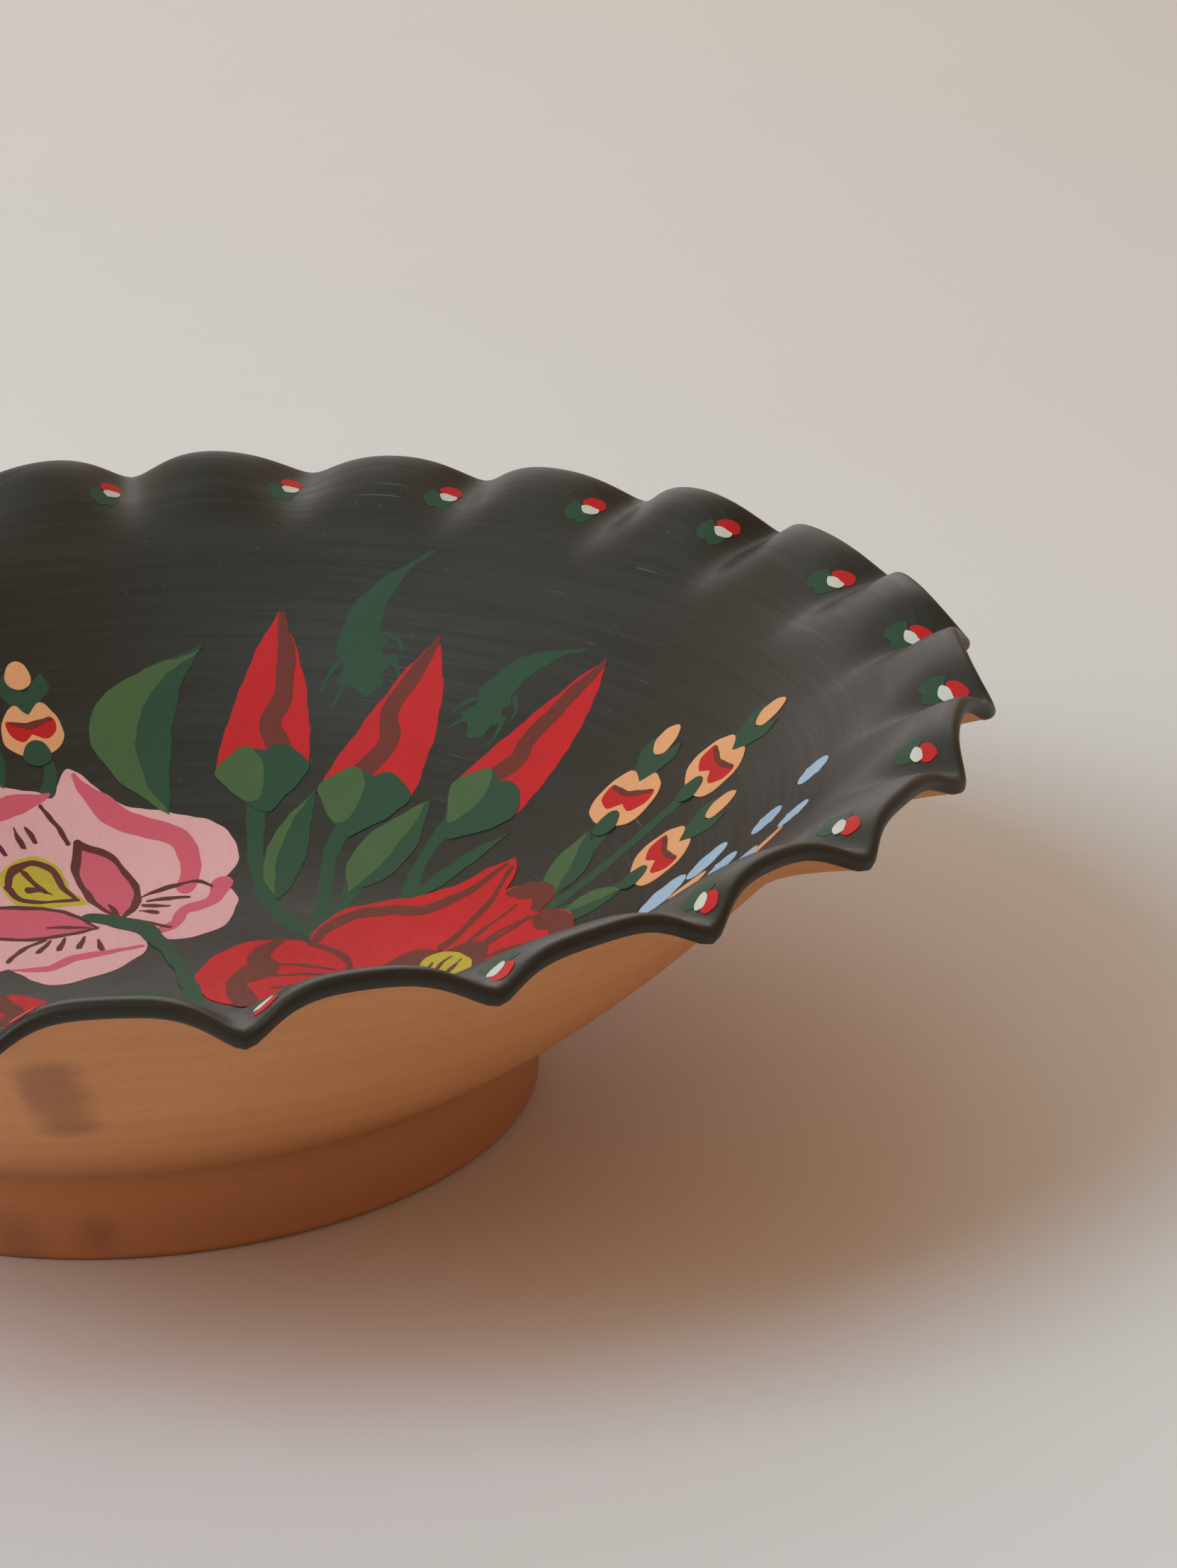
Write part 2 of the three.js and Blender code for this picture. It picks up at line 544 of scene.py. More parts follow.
def moved(outline: np.ndarray, distance: np.ndarray | float) -> np.ndarray:
    """An outline moved to its left.

    Args:
        outline: Points (radius, height).
        distance: How far, once or for each point.

    Returns:
        The moved points.
    """
    along = np.gradient(outline, axis=0)
    along /= np.linalg.norm(along, axis=1, keepdims=True)
    left = np.stack([-along[:, 1], along[:, 0]], axis=1)
    result = outline + left * np.reshape(distance, (-1, 1))
    result[outline[:, 0] == 0.0, 0] = 0.0
    return result


@dataclass(frozen=True)
class BowlShape:
    """The thrown bowl's section and flutes, in millimetres and degrees."""

    rim_radius: float = 125.0
    rim_height: float = 57.1
    lip_thickness: float = 2.2
    lip_slope: float = 11.0
    flare_width: float = 16.0
    shoulder_rounding: float = 7.0
    wall_thickness: float = 5.0
    wall_slope_low: float = 30.0
    wall_slope_high: float = 38.0
    wall_carry: float = 20.0
    flute_count: int = 25
    flute_rise: float = 5.2
    flute_pull: float = 4.0
    flute_reach: float = 27.0
    flute_fade: float = 1.5  # how much faster than an even curve the flutes fade inwards
    flute_lean: float = 0.2
    lean_change: float = 0.16  # how much more the flutes lean at the bowl's sides, and twice that at -Y
    flute_softness: float = 0.25
    floor_flat_radius: float = 30.0
    floor_thickness: float = 5.0
    neck_height: float = 12.4
    neck_rounding: float = 4.0
    unevenness: float = 0.09  # how much one flute's height differs from the next one's
    uneven_waves: tuple[tuple[int, float], ...] = ((3, 0.8), (8, 2.1), (13, 0.0))  # how many and their starts
    sag: float = 1.6  # how far the rim lies below its mean at +Y and above it at -Y
    sag_reach: float = 42.0  # how far in from the lip that is felt
    shallow: float = 0.13  # how much shallower the flutes are at -Y than their mean, and deeper at +Y
    foot_radius: float = (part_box("foot_ring")[1].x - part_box("foot_ring")[0].x) / 2 / METRES
    foot_height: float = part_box("foot_ring")[1].z / METRES
    base_steps: int = 6
    neck_steps: int = 8
    wall_steps: int = 44
    shoulder_steps: int = 12
    flare_steps: int = 8
    lip_steps: int = 12
    floor_steps: int = 24
    middle_steps: int = 20

    def lip_centre(self) -> np.ndarray:
        """The centre of the lip's rounding."""
        half = self.lip_thickness / 2
        return np.array([self.rim_radius - half, self.rim_height - half])

    def lip_underside(self) -> np.ndarray:
        """Where the underside of the flare meets the lip's rounding."""
        return self.lip_centre() + heading(self.lip_slope - 90) * self.lip_thickness / 2

    def neck(self) -> np.ndarray:
        """The rounding between the foot and the wall.

        Returns:
            Points (radius, height), going up.
        """
        corner = np.array([self.foot_radius, self.neck_height])
        before = corner - heading(90) * self.neck_rounding
        after = corner + heading(self.wall_slope_low) * self.neck_rounding
        return bezier([before, corner, after], self.neck_steps)

    def outside(self) -> np.ndarray:
        """The outside from the neck to the lip's rounding.

        Returns:
            Points (radius, height), going up.
        """
        low, high, flare = (heading(s) for s in (self.wall_slope_low, self.wall_slope_high, self.lip_slope))
        start = self.neck()[-1]
        corner = self.lip_underside() - flare * self.flare_width
        before = corner - high * self.shoulder_rounding
        after = corner + flare * self.shoulder_rounding
        handles = [start, start + low * self.wall_carry, before - high * self.wall_carry, before]
        wall = bezier(handles, self.wall_steps)
        shoulder = bezier([before, corner, after], self.shoulder_steps)
        flare_line = bezier([after, self.lip_underside()], self.flare_steps)
        return np.concatenate([wall, shoulder[1:], flare_line[1:]])

    def lip(self) -> np.ndarray:
        """The half round of the lip, from its underside to its top."""
        turns = np.linspace(self.lip_slope - 90, self.lip_slope + 90, self.lip_steps + 1)[1:-1]
        return np.array([self.lip_centre() + heading(turn) * self.lip_thickness / 2 for turn in turns])

    def inside(self) -> np.ndarray:
        """The inside from the lip down to the middle of the floor.

        Returns:
            Points (radius, height), going down and in.
        """
        outside = self.outside()
        share = (outside[:, 0] - self.foot_radius) / (self.rim_radius - self.foot_radius)
        thickness = self.wall_thickness + (self.lip_thickness - self.wall_thickness) * share
        wall = moved(outside, thickness)[::-1]
        level = self.foot_height + self.floor_thickness
        low = heading(self.wall_slope_low)
        corner = wall[-1] - low * (wall[-1][1] - level) / low[1]
        rounding = bezier([wall[-1], corner, np.array([self.floor_flat_radius, level])], self.floor_steps)
        flat = bezier([rounding[-1], np.array([0.0, level])], self.middle_steps)
        return np.concatenate([wall, rounding[1:], flat[1:]])

    def flute(self, angle: np.ndarray) -> np.ndarray:
        """How far up a flute each angle is.

        Args:
            angle: Angles about the axis from +X, in radians.

        Returns:
            0 at a low corner and about 1 at a crown.
        """
        turn = (math.pi / 2 - angle) * self.flute_count / (2 * math.pi)
        lean = self.flute_lean + self.lean_change * (1 - np.sin(angle))
        leaning = turn + lean * np.sin(2 * np.pi * turn) / (2 * np.pi)
        crest = np.hypot(np.sin(np.pi * leaning), self.flute_softness) - self.flute_softness
        crest /= math.hypot(1.0, self.flute_softness) - self.flute_softness
        uneven = sum(np.sin(count * angle + start) for count, start in self.uneven_waves)
        return crest * (1 + self.unevenness * uneven) * (1 + self.shallow * (np.sin(angle) - 1))

    def _felt(self, radius: np.ndarray, reach: float) -> np.ndarray:
        """How strongly a change to the rim is felt, from 0 a reach inside the lip to 1 at the lip."""
        share = np.clip((radius - self.rim_radius + reach) / reach, 0.0, 1.0)
        return share * share * (3 - 2 * share)

    def shaped(self, radius: np.ndarray, height: np.ndarray, angle: np.ndarray) -> np.ndarray:
        """Turns places in the section into places on the fluted bowl.

        Args:
            radius: How far out, before fluting.
            height: How high, before fluting.
            angle: About the axis from +X, in radians.

        Returns:
            One row (x, y, z) for each place.
        """
        crown = self._felt(radius, self.flute_reach) ** self.flute_fade * self.flute(angle)
        near = self._felt(radius, self.sag_reach) * (1 - np.sin(angle)) * self.sag
        drawn_in = radius - self.flute_pull * crown - near
        raised = height + self.flute_rise * crown + near
        return np.stack([drawn_in * np.cos(angle), drawn_in * np.sin(angle), raised], axis=-1)

    def turned(self, name: str, radius: np.ndarray, height: np.ndarray, columns: int) -> bpy.types.Object:
        """Turns a section about the axis and flutes it.

        Args:
            name: The object's name.
            radius: Rows along the section, from the axis round to the axis, or a closed loop. A second
                dimension, where there is one, is about the axis.
            height: The heights of the same places.
            columns: How many columns go round.

        Returns:
            The object.
        """
        angle = math.pi / 2 + np.arange(columns) * 2 * math.pi / columns
        radius = np.broadcast_to(np.reshape(radius, (len(radius), -1)), (len(radius), columns))
        height = np.broadcast_to(np.reshape(height, (len(height), -1)), (len(height), columns))
        corners = self.shaped(radius, height, angle[None, :]).reshape(-1, 3)
        on_axis = radius[0, 0] == 0.0
        faces: list[tuple[int, ...]] = []
        rows = len(radius)
        for row in range(rows - 1 if on_axis else rows):
            here, there = row * columns, (row + 1) % rows * columns
            for column in range(columns):
                after = (column + 1) % columns
                if on_axis and row == 0:
                    faces.append((0, there + after, there + column))
                elif on_axis and row == rows - 2:
                    faces.append((here + column, here + after, there))
                else:
                    faces.append((here + column, here + after, there + after, there + column))
        if on_axis:
            return self._without_spares(name, corners, faces, columns)
        return mesh_object(name, corners, faces)

    def _without_spares(
        self, name: str, corners: np.ndarray, faces: list[tuple[int, ...]], columns: int
    ) -> bpy.types.Object:
        """Makes a turned object whose two ends on the axis are one corner each.

        Args:
            name: The object's name.
            corners: All the corners, whole rows of them at the two ends.
            faces: The faces, which use only the first corner of each of those rows.
            columns: How many corners a row has.

        Returns:
            The object.
        """
        kept = np.ones(len(corners), dtype=bool)
        kept[1:columns] = False
        kept[len(corners) - columns + 1:] = False
        number = np.cumsum(kept) - 1
        return mesh_object(name, corners[kept], [tuple(int(number[c]) for c in face) for face in faces])


@dataclass
class Body:
    """The clay of the bowl and the ring that it stands on."""

    shape: BowlShape
    ring_width: float = 9.0
    ring_rounding: float = 1.4
    rounding_steps: int = 6
    columns: int = 600

    def bowl(self) -> bpy.types.Object:
        """Throws the bowl.

        Returns:
            The bowl, without its foot ring.
        """
        shape = self.shape
        middle = np.array([0.0, shape.foot_height])
        base = bezier([middle, np.array([shape.foot_radius, shape.foot_height])], shape.base_steps)
        outline = np.concatenate([base, shape.neck(), shape.outside()[1:], shape.lip(), shape.inside()])
        made = shape.turned("clay_bowl", outline[:, 0], outline[:, 1], self.columns)
        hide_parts("bowl_body")
        return made

    def ring(self) -> bpy.types.Object:
        """Turns the foot ring.

        Returns:
            The ring, its flat top against the bowl's base.
        """
        inner, outer = self.shape.foot_radius - self.ring_width, self.shape.foot_radius
        top, soft = self.shape.foot_height, self.ring_rounding
        quarter = np.linspace(0, 90, self.rounding_steps + 1)
        outline = [np.array([inner, top])]
        for centre_radius, start in ((inner + soft, 180.0), (outer - soft, -90.0)):
            centre = np.array([centre_radius, soft])
            outline += [centre + heading(start + turn) * soft for turn in quarter]
        outline.append(np.array([outer, top]))
        section = np.array(outline)
        made = self.shape.turned("clay_foot_ring", section[:, 0], section[:, 1], self.columns // 2)
        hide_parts("foot_ring")
        return made

    def build(self, box: PaintBox) -> list[bpy.types.Object]:
        """Makes the clay and dresses it.

        Args:
            box: The finishes.

        Returns:
            The two pieces.
        """
        pieces = [self.bowl(), self.ring()]
        for piece in pieces:
            box.dress(piece, Paint.CLAY)
        return pieces


@dataclass
class Coat:
    """The black ground over the inside and round the lip, and the chart that the painting uses."""

    shape: BowlShape
    thickness: float = 0.12
    keyed: float = 0.05  # how far it sinks into the clay
    lap: float = 0.35  # how far it runs back under the lip
    lap_waver: float = 0.3
    waves: tuple[tuple[int, float, float], ...] = (  # of its edge: how many, how strong and where they start
        (7, 1.0, 0.0), (19, 0.7, 2.0), (43, 0.5, 1.0), (88, 0.4, 0.0),
    )
    chart_turn: float = 2.1  # degrees from the chart's directions to the bowl's
    columns: int = 600
    _section: np.ndarray = field(init=False)
    _reach: np.ndarray = field(init=False)

    def __post_init__(self) -> None:
        """Works out the covered section, from the axis out to the lip's underside, and its length."""
        inside_out = self.shape.inside()[::-1]
        self._section = np.concatenate([inside_out, self.shape.lip()[::-1], [self.shape.lip_underside()]])
        steps = np.linalg.norm(np.diff(self._section, axis=0), axis=1)
        self._reach = np.concatenate([[0.0], np.cumsum(steps)])

    def film(self) -> bpy.types.Object:
        """Lays the black coat, with the wavering edge that a brush leaves.

        Returns:
            The coat, one closed film.
        """
        angle = np.arange(self.columns) * 2 * math.pi / self.columns
        waver = sum(strength * np.sin(count * angle + start) for count, strength, start in self.waves)
        lap = self.lap + self.lap_waver * waver / 2
        back = -heading(self.shape.lip_slope)[:, None] * lap[None, :]
        sides = []
        for lift in (-self.keyed, self.thickness):
            section = moved(self._section, lift)
            tail = [section[-1][:, None] + back * share for share in (0.25, 0.5, 0.75, 1.0)]
            whole = np.repeat(section[:, :, None], self.columns, axis=2)
            sides.append(np.concatenate([whole, np.array(tail)]))
        loop = np.concatenate([sides[0], sides[1][::-1]])
        made = self.shape.turned("black_ground", loop[:, 0], loop[:, 1], self.columns)
        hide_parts("black_coat")
        return made

    def on_bowl(self, chart: np.ndarray) -> np.ndarray:
        """Finds where places on the chart lie on the bowl.

        Args:
            chart: Rows (x, y), in millimetres.

        Returns:
            Rows (x, y, z) on the clay, in millimetres.
        """
        out = np.hypot(chart[:, 0], chart[:, 1])
        angle = np.arctan2(chart[:, 1], chart[:, 0]) + math.radians(self.chart_turn)
        radius = np.interp(out, self._reach, self._section[:, 0])
        height = np.interp(out, self._reach, self._section[:, 1])
        return self.shape.shaped(radius, height, angle)

    def lifted(self, chart: np.ndarray, lift: np.ndarray | float) -> np.ndarray:
        """Finds places above the clay.

        Args:
            chart: Rows (x, y), in millimetres.
            lift: How far above, once or for each row.

        Returns:
            Rows (x, y, z), in millimetres.
        """
        aside = 0.2
        along_x = self.on_bowl(chart + [aside, 0.0]) - self.on_bowl(chart - [aside, 0.0])
        along_y = self.on_bowl(chart + [0.0, aside]) - self.on_bowl(chart - [0.0, aside])
        up = np.cross(along_x, along_y)
        up /= np.linalg.norm(up, axis=1, keepdims=True)
        return self.on_bowl(chart) + up * np.reshape(lift, (-1, 1))

    def build(self, box: PaintBox) -> list[bpy.types.Object]:
        """Makes the coat and dresses it.

        Args:
            box: The finishes.

        Returns:
            The one piece.
        """
        made = self.film()
        box.dress(made, Paint.BLACK)
        return [made]


# ---- Brushwork ----


@dataclass(frozen=True)
class Spot:
    """Where a motif stands on the chart, and which way its own first axis points."""

    x: float
    y: float
    turn: float = 0.0
    size: float = 1.0

    def placed(self, points: np.ndarray) -> np.ndarray:
        """Moves points from the motif's own axes to the chart's.

        Args:
            points: Rows (along, across).

        Returns:
            Rows (x, y).
        """
        own = points[:, :1] * heading(self.turn) + points[:, 1:] * heading(self.turn + 90)
        return own * self.size + [self.x, self.y]


def smooth_line(points: np.ndarray, sharp: tuple[int, ...], closed: bool, step: float) -> np.ndarray:
    """Draws a smooth line through points.

    Args:
        points: Rows (x, y).
        sharp: The numbers of the points where the line turns a corner.
        closed: Whether the line returns to its first point.
        step: How far apart its new points are, at most.

    Returns:
        The line's points, without a copy of the first one at the end of a closed line.
    """
    count = len(points)
    following = np.roll(points, -1, axis=0)
    spans = following - points
    lengths = np.linalg.norm(spans, axis=1)
    line = []
    for i in range(count if closed else count - 1):
        j = (i + 1) % count
        leaving, arriving = spans[i], spans[i]
        if i not in sharp and (closed or i > 0):
            share = lengths[i] / (lengths[i] + lengths[i - 1])
            leaving = (spans[i] + spans[i - 1]) * share
        if j not in sharp and (closed or j < count - 1):
            share = lengths[i] / (lengths[i] + lengths[j])
            arriving = (spans[i] + spans[j]) * share
        t = np.linspace(0.0, 1.0, max(2, math.ceil(lengths[i] / step)) + 1)[:-1, None]
        start = points[i] * (2 * t**3 - 3 * t**2 + 1) + leaving * (t**3 - 2 * t**2 + t)
        line.append(start + following[i] * (3 * t**2 - 2 * t**3) + arriving * (t**3 - t**2))
    if not closed:
        line.append(points[-1:])
    return np.concatenate(line)


@dataclass
class Daub:
    """One closed shape of paint on the chart, and how many coats of paint lie under it."""

    outline: np.ndarray
    layer: int


@dataclass
class Brushwork:
    """What the brush puts down for one motif: its daubs, by paint."""

    name: str
    spot: Spot
    layer: int = 0
    daubs: dict[Paint, list[Daub]] = field(default_factory=dict)
    step: float = 0.7  # between the points of an outline
    waver: float = 0.13
    waves: tuple[float, float] = (9.0, 4.0)  # their lengths; the first is the strongest

    def _uneven(self, outline: np.ndarray) -> np.ndarray:
        """Adds the small waver of a hand to an outline.

        Args:
            outline: Rows (x, y) of a closed line.

        Returns:
            The wavering outline.
        """
        hand = np.random.default_rng(HAND + len(outline))
        along = np.linspace(0.0, 2 * math.pi, len(outline), endpoint=False)
        length = len(outline) * self.step
        shift = np.zeros((len(outline), 2))
        for wave in self.waves:
            turns = max(1, round(length / wave))
            phases = hand.uniform(0.0, 2 * math.pi, 2)
            shift += np.sin(along[:, None] * turns + phases) * self.waver * wave / self.waves[0]
        return outline + shift

    def _keep(self, paint: Paint, outline: np.ndarray, layer: int) -> None:
        """Puts one daub where it belongs on the chart."""
        placed = self._uneven(self.spot.placed(outline))
        self.daubs.setdefault(paint, []).append(Daub(placed, self.layer + layer))

    def patch(self, paint: Paint, layer: int, points: Points, sharp: tuple[int, ...] = ()) -> None:
        """Fills a smooth closed outline.

        Args:
            paint: The colour.
            layer: How many of the motif's own coats lie under it.
            points: The outline, in the motif's own axes.
            sharp: The numbers of the points that are corners.
        """
        self._keep(paint, smooth_line(np.array(points, dtype=float), sharp, True, self.step), layer)

    def oval(
        self, paint: Paint, layer: int, centre: tuple[float, float], length: float, width: float
    ) -> None:
        """Dabs an oval.

        Args:
            paint: The colour.
            layer: How many of the motif's own coats lie under it.
            centre: Its middle, in the motif's own axes.
            length: Its size along the first axis.
            width: Its size along the second.
        """
        around = 8
        turns = np.linspace(0.0, 2 * math.pi, around + 1)[:-1]
        points = [(centre[0] + length / 2 * math.cos(t), centre[1] + width / 2 * math.sin(t)) for t in turns]
        self.patch(paint, layer, tuple(points))

    def stroke(self, paint: Paint, layer: int, points: Points, widths: tuple[float, ...]) -> None:
        """Draws a brush stroke with rounded ends.

        Args:
            paint: The colour.
            layer: How many of the motif's own coats lie under it.
            points: The middle of the stroke, in the motif's own axes.
            widths: Its width, at even distances from its start to its end.
        """
        spine = smooth_line(np.array(points, dtype=float), (), False, self.step)
        along = np.gradient(spine, axis=0)
        along /= np.linalg.norm(along, axis=1, keepdims=True)
        left = np.stack([-along[:, 1], along[:, 0]], axis=1)
        share = np.linspace(0.0, 1.0, len(spine))
        half = np.interp(share, np.linspace(0.0, 1.0, len(widths)), widths)[:, None] / 2
        turns = np.radians(np.linspace(-60, 60, 5))[:, None]
        caps = []
        for end, way in ((-1, 1), (0, -1)):
            swing = np.cos(turns) * along[end] * way - np.sin(turns) * left[end] * way
            caps.append(spine[end] + swing * half[end])
        outline = np.concatenate([spine + left * half, caps[0], (spine - left * half)[::-1], caps[1]])
        self._keep(paint, outline[::-1], layer)


@dataclass
class FilmMaker:
    """Turns daubs on the chart into thin closed films on the bowl."""

    coat: Coat
    thickness: float = 0.03  # how much thicker a film is inside than at its edge
    layer_step: float = 0.05
    edge_lift: float = 0.02
    soft_edge: float = 1.0  # how far in from its edge the paint reaches its full thickness
    grid: float = 1.7
    clear_of_edge: float = 0.45  # how near the outline an inner corner may be, in steps of the grid
    same_place: float = 1e-5  # corners nearer than this are one

    def _fill(self, outline: np.ndarray) -> tuple[np.ndarray, list[list[int]]]:
        """Fills an outline with triangles.

        Args:
            outline: Rows (x, y) of a closed line.

        Returns:
            The corners on the chart, and the triangles, anticlockwise.
        """
        low, high = outline.min(axis=0), outline.max(axis=0)
        across = np.arange(low[0], high[0], self.grid)
        down = np.arange(low[1], high[1], self.grid)
        inner = np.stack(np.meshgrid(across, down), axis=-1).reshape(-1, 2)
        inner = inner[self._within(inner, outline)]
        inner = inner[self._to_edge(inner, outline) > self.grid * self.clear_of_edge]
        corners = [Vector(corner) for corner in np.concatenate([outline, inner]).tolist()]
        ring = [(i, (i + 1) % len(outline)) for i in range(len(outline))]
        inside_only = 1
        filled = delaunay_2d_cdt(corners, ring, [], inside_only, self.same_place)
        return np.array([tuple(corner) for corner in filled[0]]), [list(face) for face in filled[2]]

    def _within(self, points: np.ndarray, outline: np.ndarray) -> np.ndarray:
        """Finds which points are inside an outline.

        Args:
            points: Rows (x, y).
            outline: Rows (x, y) of a closed line.

        Returns:
            True for each point inside.
        """
        start, end = outline, np.roll(outline, -1, axis=0)
        x, y = points[:, :1], points[:, 1:]
        spans = (start[:, 1] > y) != (end[:, 1] > y)
        rise = np.where(end[:, 1] == start[:, 1], 1.0, end[:, 1] - start[:, 1])
        crossing = start[:, 0] + (y - start[:, 1]) / rise * (end[:, 0] - start[:, 0])
        return (spans & (x < crossing)).sum(axis=1) % 2 == 1

    def _to_edge(self, points: np.ndarray, outline: np.ndarray) -> np.ndarray:
        """Measures from points to an outline.

        Args:
            points: Rows (x, y).
            outline: Rows (x, y).

        Returns:
            The distance from each point to the outline's nearest one.
        """
        if not len(points):
            return np.zeros(0)
        return np.linalg.norm(points[:, None, :] - outline[None, :, :], axis=2).min(axis=1)

    def made(self, name: str, daubs: list[Daub]) -> bpy.types.Object:
        """Makes one object from daubs of one colour.

        Args:
            name: The object's name.
            daubs: The shapes.

        Returns:
            The object, one closed film for each shape.
        """
        corners: list[np.ndarray] = []
        faces: list[tuple[int, ...]] = []
        start = 0
        for daub in daubs:
            flat, triangles = self._fill(daub.outline)
            full = np.clip(self._to_edge(flat, daub.outline) / self.soft_edge, 0.0, 1.0)
            lift = self.coat.thickness + self.edge_lift + daub.layer * self.layer_step + full * self.thickness
            corners += [self.coat.lifted(flat, lift), self.coat.lifted(flat, 0.0)]
            under = start + len(flat)
            open_edges: dict[tuple[int, int], None] = {}
            for a, b, c in triangles:
                faces.append((start + a, start + b, start + c))
                faces.append((under + a, under + c, under + b))
                for edge in ((a, b), (b, c), (c, a)):
                    if (edge[1], edge[0]) in open_edges:
                        del open_edges[(edge[1], edge[0])]
                    else:
                        open_edges[edge] = None
            for a, b in open_edges:
                faces.append((under + a, under + b, start + b, start + a))
            start += 2 * len(flat)
        return mesh_object(name, np.concatenate(corners), faces)

    def build(self, work: Brushwork, box: PaintBox) -> list[bpy.types.Object]:
        """Makes and dresses the pieces of one motif, one for each of its paints.

        Args:
            work: The motif's brushwork.
            box: The finishes.

        Returns:
            The pieces.
        """
        pieces = []
        for paint, daubs in work.daubs.items():
            piece = self.made(f"{work.name}_{paint.value}", daubs)
            box.dress(piece, paint)
            pieces.append(piece)
        return pieces


# ---- Motifs ----


class Motif(Protocol):
    """Something that can be painted at a spot."""

    def paint(self, work: Brushwork) -> None:
        """Lays down the motif's daubs."""


@dataclass
class Pepper:
    """A red pepper in its green cap, from the cap's stem to its own tip along the first axis."""

    length: float
    left: float  # its widths to each side of the first axis
    right: float
    stripe: Points  # the middle of its dark stripe

    def paint(self, work: Brushwork) -> None:
        """Paints the pod, its dark stripe and the two-tone cap.

        Args:
            work: The motif's brushwork.
        """
        tip = self.length
        left, right = self.left, -self.right
        pod = (
            (tip + 0.4, 0.2), (tip * 0.84, left * 0.42), (tip * 0.62, left * 0.74),
            (tip * 0.38, left * 0.98), (7.5, left), (4, 0), (6.5, right * 0.95), (tip * 0.36, right),
            (tip * 0.6, right * 0.84), (tip * 0.82, right * 0.5),
        )
        work.patch(Paint.RED, 0, pod, (0,))
        work.stroke(Paint.DARK_RED, 1, self.stripe, (1.2, 3.2, 3.4, 3.8, 4.2))
        cap = (
            (0, 1.4), (3, left * 0.62), (7.5, left + 0.4), (11.5, left * 0.72), (12.4, 3.6), (11.6, 0.8),
            (12.6, -2), (11.4, right * 0.66), (8, right - 0.3), (4.4, right * 0.8), (1.6, right * 0.46),
            (-1, -1.2),
        )
        work.patch(Paint.DARK_GREEN, 2, cap, (5,))
        lobe = (
            (1.2, 1.8), (3.4, left * 0.66), (7.4, left + 0.5), (11.4, left * 0.76), (12.5, 3.4), (9, 1.0),
            (4.6, 0.4),
        )
        work.patch(Paint.LIGHT_GREEN, 3, lobe)


@dataclass
class Leaf:
    """A leaf along the first axis, light on its left of the midrib and dark on its right."""

    length: float
    light: float
    dark: float
    bend: float = 0.0
    tail: float = 0.0  # how far the tip sweeps to the right
    shares: tuple[float, ...] = (0.0, 0.16, 0.36, 0.58, 0.8, 1.0)  # of the length, where an edge has points
    belly_low: float = 0.85  # under 1 brings the widest place nearer the base

    def _edge(self, width: float) -> list[tuple[float, float]]:
        """Draws a line from the base to the tip.

        Args:
            width: How far to the left of the midrib it runs at its widest.

        Returns:
            The line's points.
        """
        points = []
        for share in self.shares:
            belly = math.sin(math.pi * share**self.belly_low)
            across = self.bend * 4 * share * (1 - share) - self.tail * share**3 + width * belly
            points.append((share * self.length, across))
        return points

    def paint(self, work: Brushwork) -> None:
        """Paints the leaf dark and its left half light.

        Args:
            work: The motif's brushwork.
        """
        corners = (0, len(self.shares) - 1)
        back = self._edge(self.light)[-2:0:-1]
        work.patch(Paint.DARK_GREEN, 0, (*self._edge(-self.dark), *back), corners)
        if self.light > 0:
            short_tip = (self.length * 0.97, -self.tail * 0.9)
            work.patch(Paint.LIGHT_GREEN, 1, (*self._edge(0.0)[:-1], short_tip, *back), corners)


@dataclass
class RaggedLeaf:
    """A dark leaf with a long tip along the first axis and a ragged foot."""

    outline: Points = (
        (30, 0.5), (24, 6.2), (17, 10.6), (10.5, 11), (5.5, 9.6), (4, 7.2), (0.6, 7), (0.8, 3.6),
        (-0.4, 0.4), (2.6, -1.6), (5, -0.4), (7.6, -2.8), (8.2, 1.6), (10.6, 0.8), (11.8, 3.8), (17.5, 4.9),
        (23.5, 4.2),
    )
    bristles: tuple[Points, ...] = (
        ((5, 8), (0.8, 9), (-1.8, 8.6)), ((2, 5), (-2, 5.4), (-4, 5)), ((8, -1), (5, -3.6), (1.6, -4.4)),
        ((11.6, 2.2), (11, -0.6), (9.4, -2.4)),
    )

    def paint(self, work: Brushwork) -> None:
        """Paints the leaf in one colour, with the marks of stray bristles at its foot.

        Args:
            work: The motif's brushwork.
        """
        work.patch(Paint.DARK_GREEN, 0, self.outline, (0, 4, 6, 11, 13))
        for bristle in self.bristles:
            work.stroke(Paint.DARK_GREEN, 0, bristle, (1.3, 0.9, 0.3))


